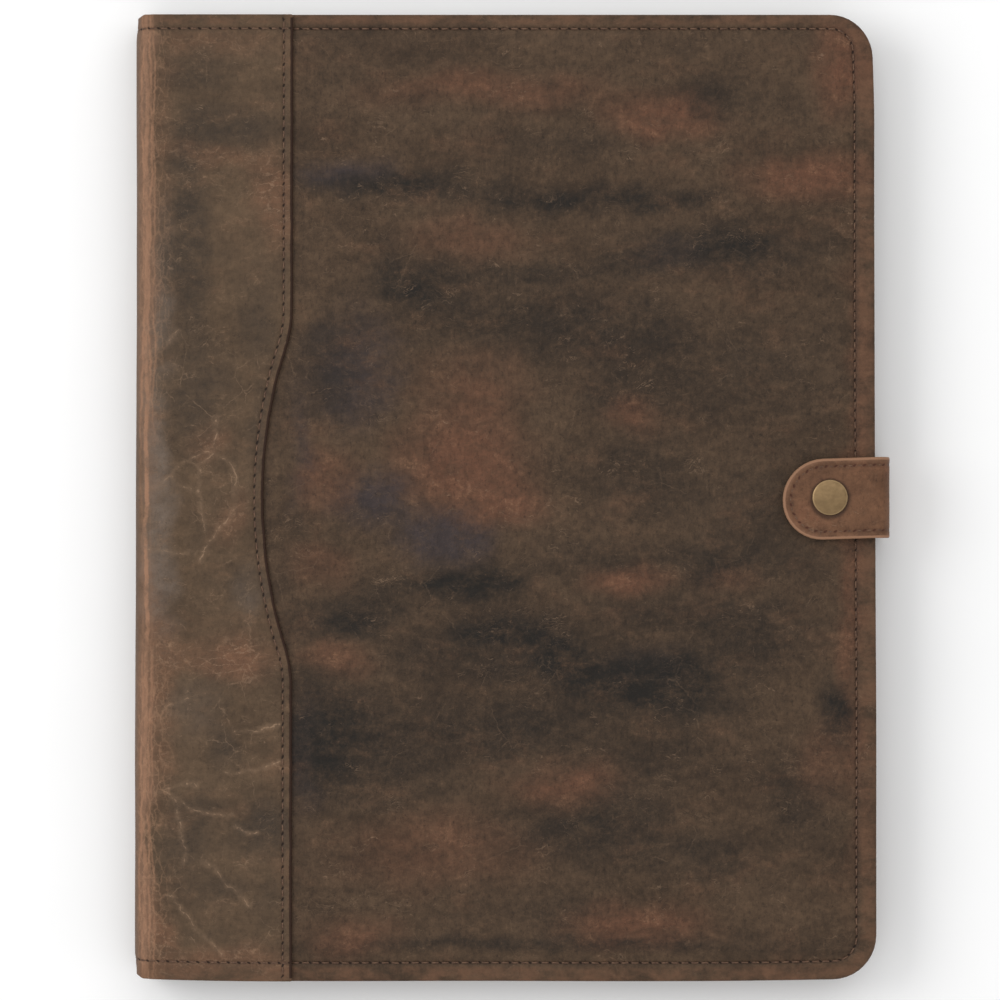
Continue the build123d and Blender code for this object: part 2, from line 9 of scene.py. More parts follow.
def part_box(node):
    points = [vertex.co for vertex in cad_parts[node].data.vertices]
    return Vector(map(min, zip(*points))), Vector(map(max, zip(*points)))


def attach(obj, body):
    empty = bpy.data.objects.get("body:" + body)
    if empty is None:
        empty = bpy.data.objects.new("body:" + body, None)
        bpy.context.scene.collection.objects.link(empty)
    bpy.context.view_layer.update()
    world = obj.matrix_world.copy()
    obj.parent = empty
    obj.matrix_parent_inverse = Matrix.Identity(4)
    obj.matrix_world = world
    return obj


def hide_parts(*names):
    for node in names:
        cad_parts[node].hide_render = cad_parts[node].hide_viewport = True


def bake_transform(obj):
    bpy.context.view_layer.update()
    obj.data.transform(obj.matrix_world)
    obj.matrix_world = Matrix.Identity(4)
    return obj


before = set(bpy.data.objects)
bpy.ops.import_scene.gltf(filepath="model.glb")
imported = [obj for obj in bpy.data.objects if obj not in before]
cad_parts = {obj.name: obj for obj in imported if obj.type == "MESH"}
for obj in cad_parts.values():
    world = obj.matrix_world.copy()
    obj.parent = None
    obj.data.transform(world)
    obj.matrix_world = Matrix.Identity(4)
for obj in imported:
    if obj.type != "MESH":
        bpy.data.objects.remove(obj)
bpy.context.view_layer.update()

# A leather portfolio case. The CAD leather is replaced by sewn hides with stitches; the
# boards, pockets, pad and snap parts are CAD nodes with finished materials.
# Sheets are laid out flat as (u, v): v runs along Y and u across it, measured from the middle
# of the spine or of the tab's riser. A Roll then wraps u round the folds. Lengths are in
# millimetres until a mesh is made.

MM = 0.001
WELD = 1e-6

# ---------------------------------------------------------------- places taken from the CAD parts


def box_mm(node):
    """Lowest and highest corner of a CAD node in millimetres."""
    low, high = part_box(node)
    return Vector(low) / MM, Vector(high) / MM


panel_low, panel_high = box_mm("front_leather")
flap_low, flap_high = box_mm("front_flap")
spine_low, spine_high = box_mm("spine_leather")
lining_low, lining_high = box_mm("front_lining")
back_lining_low, back_lining_high = box_mm("back_lining")
spine_lining_high = box_mm("spine_lining")[1]
lining_fold_low, lining_fold_high = box_mm("lining_fold_front")
riser_low, riser_high = box_mm("tab_riser_leather")
tongue_low, tongue_high = box_mm("tab_tongue_leather")
tongue_under = box_mm("tab_tongue_lining")[0].z
root_low, root_high = box_mm("tab_root_leather")
cap_low, cap_high = box_mm("snap_cap")

RIGHT = panel_high.x
HALF = panel_high.y
FOLD_X = panel_low.x
SPINE_X = spine_low.x
FOLD = FOLD_X - SPINE_X
HEM = panel_high.z - panel_low.z
LEATHER = flap_high.z - flap_low.z
SPINE_MID = (spine_low.z + spine_high.z) / 2
FLAP_EDGE = flap_high.x
LINING_FOLD = lining_fold_high.z - lining_fold_low.z
LINING = lining_high.z - lining_low.z
CAP_RADIUS = (cap_high.x - cap_low.x) / 2
CAP = Vector(((cap_low.x + cap_high.x) / 2, (cap_low.y + cap_high.y) / 2, cap_low.z))

TAB_HALF = riser_high.y
TAB_FOLD = riser_high.x - root_high.x
TAB_THICK = tongue_high.z - tongue_under
TAB_MID = (riser_low.z + riser_high.z) / 2
TAB_FLAT = riser_high.z - TAB_MID + math.pi / 2 * TAB_FOLD
TAB_CAP_U = TAB_FLAT + root_high.x - CAP.x

# ---------------------------------------------------------------- sewing and shape sizes

CORNER = 15.0
SEAM_HEAD, SEAM_FOOT, SEAM_FORE = 5.0, 6.5, 7.0
SEAM_CORNER = 8.0
FLAP_SEAM = 3.2
TAB_SEAM = 2.8
PITCH, FLAP_PITCH, TAB_PITCH = 3.5, 3.85, 3.4
SCOOP_DEPTH = 10.2
SCOOP_RADIUS = 175.0
SHOULDER_RADIUS = 40.0
TAB_DROOP = 0.032

# The tab's leather is painted this far along from the hides', so that it has clouds of its own
TAB_REST = 300.0

# Beyond SEAM_REACH a point is FAR from every seam
SEAM_REACH = 12.0
FAR = 99.0

# ---------------------------------------------------------------- small maths


def smooth(value):
    value = min(max(value, 0.0), 1.0)
    return value * value * (3 - 2 * value)


def spread(start, stop, step):
    """Evenly spaced values from start to stop, about step apart."""
    count = max(1, round(abs(stop - start) / step))
    return [start + (stop - start) * i / count for i in range(count + 1)]


def scoop_edge(v, inset=0.0):
    """X of the flap's edge at y = v: a shallow arc, two shoulders and straight ends."""
    v = abs(v)
    centre = FLAP_EDGE - SCOOP_DEPTH + SCOOP_RADIUS
    shoulder_x = FLAP_EDGE - SHOULDER_RADIUS
    reach = SCOOP_RADIUS + SHOULDER_RADIUS
    shoulder_v = math.sqrt(reach**2 - (centre - shoulder_x) ** 2)
    meet_v = shoulder_v * SCOOP_RADIUS / reach
    if v <= meet_v:
        return centre - math.sqrt((SCOOP_RADIUS + inset) ** 2 - v * v)
    if v <= shoulder_v:
        return shoulder_x + math.sqrt((SHOULDER_RADIUS - inset) ** 2 - (shoulder_v - v) ** 2)
    return FLAP_EDGE - inset


def advance(x, z, angle, run, radius, turn):
    """Where a straight run, or an arc where it has a radius, leads from (x, z) at an angle."""
    if not radius:
        return x + run * math.cos(angle), z + run * math.sin(angle), angle
    sweep = turn * run / radius
    x += turn * radius * (math.sin(angle + sweep) - math.sin(angle))
    z += turn * radius * (math.cos(angle) - math.cos(angle + sweep))
    return x, z, angle + sweep


class Roll:
    """A line in the XZ plane that a flat sheet is wrapped along: straight, round a quarter turn, straight."""

    def __init__(self, x, z, heading, rise, radius, turn, reach, side):
        self.side = side
        self.parts = []
        angle = math.radians(heading)
        start = 0.0
        arc = math.pi / 2 * radius
        for length, bend in ((rise, 0.0), (arc, radius), (reach - rise - arc, 0.0)):
            if length:
                self.parts.append((start, length, bend, turn, x, z, angle))
                start += length
                x, z, angle = advance(x, z, angle, length, bend, turn)

    def place(self, u, v, lift):
        """The point at u along the line, v along Y and lift out from the visible side."""
        part = next((part for part in self.parts if u <= part[0] + part[1]), self.parts[-1])
        start, _, radius, turn, x, z, angle = part
        x, z, angle = advance(x, z, angle, u - start, radius, turn)
        out = self.side * lift
        return Vector((x - out * math.sin(angle), v, z + out * math.cos(angle)))


def settled(point):
    """A point of the hides moved as the real case's outline strays from a true rectangle."""
    x, y, z = point
    wide = 0.0045 * smooth((80 - y) / 160) * x
    tight = smooth(1 - math.hypot(x - RIGHT, y - HALF) / 40)
    wave = 0.22 * noise.noise(Vector((x * 0.016, y * 0.016, 50 + z * 0.01)))
    foot = smooth(-y / HALF) * (0.9 * abs(x / 126) ** 5 - 0.35 + wave)
    spine_end = smooth(1 - (x - SPINE_X) / 3.5) * smooth((abs(y) - 160) / 9)
    x += wide - tight + wave * x / RIGHT + 0.6 * spine_end
    return Vector((x, y + foot - math.copysign(spine_end, y), z))


# ---------------------------------------------------------------- seams


class Seam:
    """A line of stitches on a flat layout, with the distance and the place along it of any point."""

    def __init__(self, points, pitch=PITCH):
        fine = []
        for a, b in zip(points, points[1:]):
            a, b = Vector(a), Vector(b)
            count = max(1, round((b - a).length / 0.25))
            fine += [a.lerp(b, i / count) for i in range(count)]
        fine.append(Vector(points[-1]))
        self.points = fine
        self.along = [0.0]
        for a, b in zip(fine, fine[1:]):
            self.along.append(self.along[-1] + (b - a).length)
        self.count = max(1, round(self.along[-1] / pitch))
        self.pitch = self.along[-1] / self.count
        self.tree = KDTree(len(fine))
        for i, point in enumerate(fine):
            self.tree.insert((point.x, point.y, 0), i)
        self.tree.balance()

    def tangent(self, i):
        a = self.points[max(i - 1, 0)]
        b = self.points[min(i + 1, len(self.points) - 1)]
        return (b - a).normalized()

    def measure(self, u, v):
        """(signed distance, positive left of the seam's direction; stitches counted along it)."""
        i = self.tree.find((u, v, 0))[1]
        lie = self.tangent(i)
        gap = Vector((u, v)) - self.points[i]
        across = lie.x * gap.y - lie.y * gap.x
        beyond = lie.dot(gap) if i in (0, len(self.points) - 1) else 0.0
        distance = math.copysign(math.hypot(across, beyond), across)
        return distance, (self.along[i] + lie.dot(gap)) / self.pitch

    def middles(self):
        """Middle and direction of each stitch."""
        i = 0
        for k in range(self.count):
            target = (k + 0.5) * self.pitch
            while self.along[i] < target:
                i += 1
            yield self.points[i], self.tangent(i)


def u_seam(start, end, half_head, half_foot, radius):
    """Points of a seam from the foot at start, round the fore edge and back to the head at start."""
    points = [(start, -half_foot)]
    for first, middle_v in ((-90, radius - half_foot), (0, half_head - radius)):
        for i in range(13):
            angle = math.radians(first + 90 * i / 12)
            points.append((end - radius + radius * math.cos(angle), middle_v + radius * math.sin(angle)))
    points.append((start, half_head))
    return points


# ---------------------------------------------------------------- sheets


def sheet_mesh(name, roll, stations, half, radius, rings, rows, end=None, relief=None, hem=None,
               seams=(), rest=None, turn=None, tints=None, shape=None, backed=False):
    """A sheet with a finished edge, laid out as nested U-shaped rings open at u = 0, wrapped along roll.

    stations are u values up to the corner; rings are (inset, lift, share of relief) from the
    underside round the edge and in over the top; rows is the number of divisions along the far side.
    The middle of the top is filled in, and that of the underside too where the sheet is backed.
    """
    reach = stations[-1] + radius
    hold = stations[len(stations) // 3] if end else 0.0
    end_at = end or (lambda v: reach)
    bm = bmesh.new()
    rest_layer = bm.verts.layers.float_vector.new("rest")
    layers = {key: bm.verts.layers.float.new(key) for key in ("inset", "wall", "turn", *(tints or ()))}
    for channel in range(2):
        for key in ("seam_off", "seam_phase"):
            layers[f"{key}_{channel}"] = bm.verts.layers.float.new(f"{key}_{channel}")

    def vertex(u, v, lift, share, inset):
        flat = rest(u, v) if rest else (u, v)
        height = lift * (hem(u) if hem else 1.0) if lift < 0 else lift
        measured = []
        for channel in range(2):
            found = [seam.measure(u, v) for seam in seams[channel]] if channel < len(seams) else []
            off, phase = min(found, key=lambda pair: abs(pair[0])) if found else (FAR, 0.0)
            measured.append((off if abs(off) < SEAM_REACH else FAR, phase))
        if relief and share:
            height += share * relief(u, v, [off for off, _ in measured])
        spot = roll.place(u, v, height)
        vert = bm.verts.new((shape(spot) if shape else spot) * MM)
        vert[rest_layer] = (flat[0], flat[1], height)
        for key, patches in (tints or {}).items():
            vert[layers[key]] = patch_share(flat[0], flat[1], patches)
        for channel, (off, phase) in enumerate(measured):
            vert[layers[f"seam_off_{channel}"]] = off
            vert[layers[f"seam_phase_{channel}"]] = phase
        vert[layers["wall"]] = 1.0 if lift < -0.15 else 0.0
        vert[layers["inset"]] = inset
        vert[layers["turn"]] = turn(u) if turn else 0.0
        return vert

    def ring_points(inset):
        pull = max(radius, inset)
        turn = max(radius - inset, 0.0)
        stretch = (reach - pull - hold) / (stations[-1] - hold)
        along = [u if u <= hold else hold + (u - hold) * stretch for u in stations]
        side = half - inset
        lower = [(u, -side) for u in along]
        upper = [(u, side) for u in reversed(along)]
        steps = 10 if radius > 4 else 3
        angles = [math.pi / 2 * i / steps for i in range(1, steps)]
        edge = half - pull
        corner = [(reach - pull + turn * math.sin(a), -edge - turn * math.cos(a)) for a in angles]
        fore = [(end_at(v) - inset, v) for v in (-edge + 2 * edge * j / rows for j in range(rows + 1))]
        return lower, corner, fore, [(u, -v) for u, v in reversed(corner)], upper

    def fill(ring, inset, lift, share):
        """Faces across the middle of a ring, in columns from its lower to its upper side."""
        lower, corner, fore, _, _ = ring_points(inset)
        across = len(lower)
        first_fore = across + len(corner)
        columns = [[vert] for vert in ring[:across]]
        for column, (u, _), top in zip(columns, lower, reversed(ring[-across:])):
            for _, v in fore[1:-1]:
                place_u, deep = u, half - abs(v)
                if u > hold:
                    reach_here = end_at(v) - inset
                    place_u = hold + (u - hold) / (reach - inset - hold) * (reach_here - hold)
                    deep = min(reach_here + inset - place_u, deep)
                column.append(vertex(place_u, v, lift, share, max(deep, inset)))
            column.append(top)
        for left, right in zip(columns, columns[1:]):
            for a, b, c, d in zip(left, right, right[1:], left[1:]):
                bm.faces.new((a, b, c, d))
        side = ring[first_fore:first_fore + rows + 1]
        for a, b, c, d in zip(columns[-1], side, side[1:], columns[-1][1:]):
            bm.faces.new((a, b, c, d))

    previous = None
    for inset, lift, share in rings:
        current = [vertex(u, v, lift, share, inset) for part in ring_points(inset) for u, v in part]
        if previous:
            for a, b, c, d in zip(previous, previous[1:], current[1:], current):
                bm.faces.new((a, b, c, d))
        elif backed:
            fill(current, inset, lift, share)
        previous = current
    inset, lift, share = rings[-1]
    if half - inset > 1e-6:
        fill(previous, inset, lift, share)
    bmesh.ops.remove_doubles(bm, verts=bm.verts, dist=2 * WELD)
    bmesh.ops.recalc_face_normals(bm, faces=bm.faces)
    probe = roll.place(stations[0], 0, 1) - roll.place(stations[0], 0, 0)
    middle = roll.place(stations[0] + 0.5, 0, 0) * MM
    top = min(bm.faces, key=lambda f: (f.calc_center_median() - middle).length)
    if top.normal.dot(probe) < 0:
        bmesh.ops.reverse_faces(bm, faces=bm.faces)
    return finish_mesh(name, bm)


def bridge(bm, rings):
    """Faces of a tube from each closed ring to the next."""
    for low, high in zip(rings, rings[1:]):
        for s in range(len(low)):
            t = (s + 1) % len(low)
            bm.faces.new((low[s], low[t], high[t], high[s]))


def finish_mesh(name, bm, smooth_faces=True):
    mesh = bpy.data.meshes.new(name)
    bm.to_mesh(mesh)
    bm.free()
    mesh.polygons.foreach_set("use_smooth", [smooth_faces] * len(mesh.polygons))
    piece = bpy.data.objects.new(name, mesh)
    bpy.context.scene.collection.objects.link(piece)
    return piece


def stitch_mesh(name, roll, seams, lift, length=2.5, width=0.3, height=0.26, skip=None, shape=None):
    """Every stitch of some seams: low arches of thread that dive into their holes at both ends."""
    bm = bmesh.new()
    layer = bm.verts.layers.float_vector.new("rest")
    sides = 6
    for seam in seams:
        for k, (middle, lie) in enumerate(seam.middles()):
            if skip and skip(middle):
                continue
            wobble = 0.06 * noise.noise(Vector((middle.x * 0.9, middle.y * 0.9, k)))
            lean = Vector((lie.x - lie.y * wobble * 2, lie.y + lie.x * wobble * 2))
            across = Vector((-lean.y, lean.x))
            rings = []
            for t in (-1.0, -0.8, -0.45, 0.0, 0.45, 0.8, 1.0):
                thick = 1.0 if abs(t) < 0.9 else 0.55
                arch = height * (0.75 - 1.5 * t * t)
                ring = []
                for s in range(sides):
                    angle = 2 * math.pi * s / sides
                    aside = width * thick * math.cos(angle) + wobble
                    point = middle + lean * (t * length / 2) + across * aside
                    level = lift + arch + height * thick * math.sin(angle) * 0.8
                    spot = roll.place(point.x, point.y, level)
                    vert = bm.verts.new((shape(spot) if shape else spot) * MM)
                    vert[layer] = (k * 7.3 + t, point.y, angle)
                    ring.append(vert)
                rings.append(ring)
            bridge(bm, rings)
            bm.faces.new(list(reversed(rings[0])))
            bm.faces.new(rings[-1])
    bmesh.ops.recalc_face_normals(bm, faces=bm.faces)
    return finish_mesh(name, bm)


# ---------------------------------------------------------------- materials


class Paint:
    """A node material, with short calls for the nodes it is made of."""

    def __init__(self, name, attribute=None):
        self.material = bpy.data.materials.new(name)
        self.material.use_nodes = True
        self.tree = self.material.node_tree
        self.shader = self.tree.nodes["Principled BSDF"]
        if attribute:
            self.place = self.node("ShaderNodeAttribute", attribute_name=attribute).outputs["Vector"]
        else:
            place = self.node("ShaderNodeTexCoord").outputs["Object"]
            self.place = self.vector("SCALE", place, amount=1 / MM)

    def node(self, kind, **settings):
        node = self.tree.nodes.new(kind)
        for key, value in settings.items():
            setattr(node, key, value)
        return node

    def feed(self, socket, value):
        if isinstance(value, bpy.types.NodeSocket):
            self.tree.links.new(value, socket)
        elif value is not None:
            socket.default_value = value

    def math(self, operation, a, b=None, c=None):
        node = self.node("ShaderNodeMath", operation=operation)
        for socket, value in zip(node.inputs, (a, b, c)):
            self.feed(socket, value)
        return node.outputs[0]

    def times(self, a, b):
        return self.math("MULTIPLY", a, b)

    def scaled(self, a, amount, plus):
        return self.math("MULTIPLY_ADD", a, amount, plus)

    def away(self, a, b):
        """How far a is from b, whichever is larger."""
        return self.math("ABSOLUTE", self.math("SUBTRACT", a, b))

    def most(self, a, b):
        return self.math("MAXIMUM", a, b)

    def vary(self, noise_value, amount, around):
        """The value around, moved up or down as some noise strays from its middle."""
        return self.scaled(self.math("SUBTRACT", noise_value, 0.5), amount, around)

    def shifted(self, place, by, amount):
        """A place moved by amount times a vector."""
        return self.vector("ADD", place, self.vector("SCALE", by, amount=amount))

    def wander(self, place, scale, detail, rough):
        """A vector that wanders about zero from place to place."""
        return self.vector("SUBTRACT", self.noise(place, scale, detail, rough, colour=True), (0.5, 0.5, 0.5))

    def vector(self, operation, a, b=None, amount=None):
        node = self.node("ShaderNodeVectorMath", operation=operation)
        self.feed(node.inputs[0], a)
        self.feed(node.inputs[1], b)
        if amount is not None:
            self.feed(node.inputs["Scale"], amount)
        return node.outputs["Value" if operation in ("LENGTH", "DISTANCE", "DOT_PRODUCT") else 0]

    def split(self, vector):
        node = self.node("ShaderNodeSeparateXYZ")
        self.feed(node.inputs[0], vector)
        return node.outputs

    def attribute(self, name):
        return self.node("ShaderNodeAttribute", attribute_name=name).outputs["Fac"]

    def turned(self, vector, degrees, stretch):
        node = self.node("ShaderNodeMapping")
        self.feed(node.inputs["Vector"], vector)
        node.inputs["Rotation"].default_value = (0, 0, math.radians(degrees))
        node.inputs["Scale"].default_value = stretch
        return node.outputs[0]

    def noise(self, vector, scale, detail, rough, colour=False):
        node = self.node("ShaderNodeTexNoise")
        self.feed(node.inputs["Vector"], vector)
        node.inputs["Scale"].default_value = scale
        node.inputs["Detail"].default_value = detail
        node.inputs["Roughness"].default_value = rough
        return node.outputs["Color" if colour else 0]

    def cells(self, vector, scale, feature="F1"):
        node = self.node("ShaderNodeTexVoronoi", feature=feature)
        self.feed(node.inputs["Vector"], vector)
        node.inputs["Scale"].default_value = scale
        return node.outputs["Distance"]

    def step(self, value, low, high, to_low=0.0, to_high=1.0):
        """Smooth step of value from low to high."""
        node = self.node("ShaderNodeMapRange", interpolation_type="SMOOTHSTEP")
        self.feed(node.inputs["Value"], value)
        for name, number in zip(("From Min", "From Max", "To Min", "To Max"), (low, high, to_low, to_high)):
            node.inputs[name].default_value = number
        return node.outputs[0]

    def mix(self, share, a, b, blend="MIX"):
        node = self.node("ShaderNodeMix", data_type="RGBA", blend_type=blend)
        self.feed(node.inputs[0], share)
        self.feed(node.inputs[6], a)
        self.feed(node.inputs[7], b)
        return node.outputs[2]

    def bump(self, height, strength, distance_mm, below=None):
        node = self.node("ShaderNodeBump")
        node.inputs["Strength"].default_value = strength
        node.inputs["Distance"].default_value = distance_mm * MM
        self.feed(node.inputs["Height"], height)
        self.feed(node.inputs["Normal"], below)
        return node.outputs[0]

    def finish(self, colour, rough, normal=None, **constants):
        self.feed(self.shader.inputs["Base Color"], colour)
        self.feed(self.shader.inputs["Roughness"], rough)
        self.feed(self.shader.inputs["Normal"], normal)
        for name, value in constants.items():
            self.shader.inputs[name.replace("_", " ")].default_value = value
        return self.material


def srgb(red, green, blue):
    """A colour given as 0 to 255 on screen, in Blender's linear values."""
    linear = []
    for channel in (red, green, blue):
        share = channel / 255
        linear.append(share / 12.92 if share <= 0.04045 else ((share + 0.055) / 1.055) ** 2.4)
    return (*linear, 1.0)


# Patches of the hides as (x, y, half length, half height, strength), in millimetres on the closed case
PANEL_TINTS = {
    "red": [
        (-14, 12, 26, 16, 1.0), (-12, 36, 22, 16, 0.55), (0, -3, 18, 9, 0.85), (45, 28, 11, 8, 0.7),
        (54, 134, 22, 9, 0.85), (-5, 143, 44, 7, 0.6), (106, 113, 26, 9, 0.85), (120, 152, 12, 18, 0.9),
        (-12, 92, 22, 8, 0.5), (43, -29, 15, 6, 0.85), (78, -29, 14, 5, 0.4), (-64, 8, 12, 12, 0.6),
        (-66, -24, 12, 8, 0.45), (-58, -56, 14, 7, 0.6), (20, -101, 20, 9, 0.75), (-25, -125, 34, 14, 0.5),
        (44, -151, 28, 9, 0.75), (-52, -154, 18, 8, 0.6), (112, -92, 10, 16, 0.4), (123, -20, 5, 110, 0.6),
    ],
    "dark": [
        (-40, 110, 34, 6, 0.8), (20, 106, 40, 5, 0.85), (60, 105, 22, 5, 0.7), (78, 87, 36, 10, 0.8),
        (-33, 74, 20, 10, 0.85), (8, 80, 35, 7, 0.55), (-60, 48, 12, 20, 0.5), (-14, -30, 28, 8, 1.0),
        (-52, -42, 22, 8, 0.75), (2, -48, 26, 9, 1.0), (48, -66, 27, 13, 1.0), (24, -58, 22, 10, 0.9),
        (-60, -84, 22, 24, 0.85), (5, -80, 30, 12, 0.65), (28, -118, 34, 13, 0.65), (102, -106, 14, 20, 0.45),
        (117, -76, 8, 12, 0.9), (48, 8, 22, 16, 0.45), (75, 45, 50, 22, 0.4), (88, -5, 34, 24, 0.35),
        (4, 60, 36, 15, 0.5), (42, 60, 26, 15, 0.45), (60, -42, 36, 9, 0.45), (68, -68, 26, 18, 0.5),
        (-30, -88, 20, 24, 0.45), (52, -92, 34, 12, 0.4), (70, -125, 20, 10, 0.5), (28, -20, 22, 8, 0.4),
        (-24, -56, 20, 9, 0.4), (74, -24, 32, 9, 0.55), (18, -146, 20, 9, 0.35), (38, 36, 16, 8, 0.45),
        (46, 84, 12, 7, 0.4), (-2, -62, 12, 7, 0.45), (44, -108, 18, 10, 0.4), (-50, -34, 12, 6, 0.35),
        # The long thin dark patch at y = -158 is a painted shadow where the leather steps down off the
        # board's edge inside the foot seam
        (20, -158, 90, 3.5, 0.6), (75, 141, 20, 9, 0.5), (20, 124, 30, 6, 0.35), (90, -50, 24, 14, 0.5),
    ],
    "cool_and_sheen": [
        (-56, 114, 18, 6, 0.8), (-52, 45, 16, 20, 0.7), (-46, 0, 16, 10, 0.9), (-22, -13, 17, 12, 1.0),
        (-73, 18, 6, 24, 0.5), (-70, -90, 8, 20, 0.6), (60, 86, 14, 6, 0.5), (50, -60, 12, 8, 0.4),
    ],
}
FLAP_TINTS = {
    "red": [
        (-94, -56, 14, 9, 0.9), (-81, 104, 7, 18, 0.75), (-102, 119, 22, 4, 0.5), (-103, 19, 6, 7, 0.6),
        (-97, -9, 6, 8, 0.5), (-124, -70, 8, 40, 0.6), (-105, 160, 26, 5, 0.4), (-124, -150, 8, 24, 0.8),
        (-100, -164, 30, 5, 0.6), (-106, -58, 20, 5, 0.5), (-122, 128, 5, 40, 0.3),
    ],
    "dark": [
        (-112, 92, 10, 40, 0.7), (-98, 130, 22, 9, 0.6), (-108, 38, 10, 22, 0.5), (-86, 62, 8, 22, 0.4),
        (-85, -118, 10, 12, 0.7), (-108, -120, 10, 20, 0.45), (-100, -88, 6, 10, 0.5), (-88, 20, 5, 20, 0.4),
        (-110, 150, 14, 8, 0.5), (-100, -140, 10, 7, 0.4), (-92, -30, 10, 8, 0.35),
    ],
    # The flap's greyish patches are a painted sheen: the grey highlight where the cover rounds down beside
    # the spine's wear line
    "cool_and_sheen": [
        (-122, 18, 6.5, 46, 1.0), (-122, -28, 6.5, 26, 0.9), (-110, -75, 12, 12, 0.2), (-122, 75, 5, 30, 0.5),
        (-90, -35, 6, 10, 0.4),
    ],
}

# Creases across the flap as runs of (x, y), in millimetres on the closed case
CREASES = [
    [(-129.6, 4), (-123, 4.2), (-118, 7.5), (-111.5, 13), (-107, 17), (-102.5, 15.5), (-97, 11.5), (-94.5, 6),
     (-95, -4), (-99, -10), (-104, -15), (-107, -23)],
    [(-118, 7.2), (-113.5, 4.2), (-110, 3)],
    [(-111.5, 13), (-107.5, 10), (-107.5, 1), (-106, -11)],
    [(-107.5, 11), (-102.5, 15.5), (-102.5, 21), (-101, 28)],
    [(-123.7, 51), (-120, 53), (-115.3, 59)],
    [(-124.8, -18.3), (-116, -20), (-104, -19.5)],
    [(-122.2, -80.7), (-119, -74), (-111, -70.7)],
    [(-95, -82), (-88, -82), (-79, -79.5)],
    [(-97, -96.5), (-88, -96), (-79, -93)],
    [(-129, -104), (-121, -104), (-113, -101), (-108, -101)],
    [(-119, -104), (-112, -109), (-104, -111), (-95, -111.5)],
    [(-114.5, -108), (-113.5, -118), (-112.5, -128)],
    [(-94.5, -115), (-91, -117.5), (-87, -118)],
    [(-106, -129), (-101, -131), (-97, -136), (-93, -138), (-90, -143)],
    [(-118, -140), (-110, -149), (-103, -157), (-99, -161)],
    [(-129.5, -145), (-126, -152), (-121.5, -161)],
]


def strayed(x, y):
    """(x, y) moved by a slow and a quick wander, so that round patches get wandering outlines."""
    for scale, reach, seed in ((0.028, 7.0, 3.0), (0.11, 4.0, 8.0)):
        spot = Vector((x * scale, y * scale, seed))
        x += reach * noise.noise(spot)
        y += 0.7 * reach * noise.noise(spot + Vector((0.0, 0.0, 31.0)))
    return x, y


def patch_share(x, y, patches):
    """How deep (x, y) lies in some soft patches, from 0 to 1."""
    x, y = strayed(x, y)
    clear = 1.0
    for patch_x, patch_y, half_x, half_y, strength in patches:
        away = math.hypot((x - patch_x) / half_x, (y - patch_y) / half_y)
        clear *= 1 - strength * smooth((1.45 - away) / 1.3)
    return 1 - clear


def crease_lines(paint, place, runs):
    """Distance from the nearest of some runs of straight lines."""
    nearest = None
    for run in runs:
        for start, stop in zip(run, run[1:]):
            a = Vector((*start, 0))
            lie = Vector((*stop, 0)) - a
            gap = paint.vector("SUBTRACT", place, a)
            share = paint.vector("DOT_PRODUCT", gap, lie / lie.length_squared)
            share = paint.math("MINIMUM", paint.most(share, 0.0), 1.0)
            away = paint.vector("DISTANCE", gap, paint.vector("SCALE", lie, amount=share))
            nearest = away if nearest is None else paint.math("MINIMUM", nearest, away)
    return nearest


class Skin:
    """The noise fields of one leather, from its broad clouds down to its grain."""

    def __init__(self, paint):
        place = paint.place
        cloud = paint.wander(place, 0.045, 4, 0.6)
        self.warped = paint.shifted(place, cloud, 20.0)
        self.eased = paint.shifted(place, cloud, 7.0)
        self.streaked = paint.turned(self.eased, -5, (0.7, 1.25, 1.0))
        self.big = paint.noise(self.streaked, 0.028, 5, 0.62)
        self.middle = paint.noise(self.streaked, 0.1, 8, 0.72)
        self.small = paint.noise(paint.turned(place, 0, (1.3, 0.8, 1.0)), 0.5, 6, 0.75)
        self.speck = paint.noise(place, 2.2, 3, 0.65)
        cloth = paint.noise(paint.turned(place, 3, (2.2, 0.5, 1.0)), 0.5, 3, 0.6)
        self.grain = paint.vary(cloth, 0.5, paint.vary(self.speck, 0.6, paint.vary(self.small, 1.0, 0.5)))
        self.fray = paint.wander(place, 0.35, 4, 0.65)
        self.frayed = paint.shifted(place, self.fray, 2.6)
        self.nap = paint.noise(paint.shifted(place, self.fray, 8.0), 0.55, 4, 0.7)


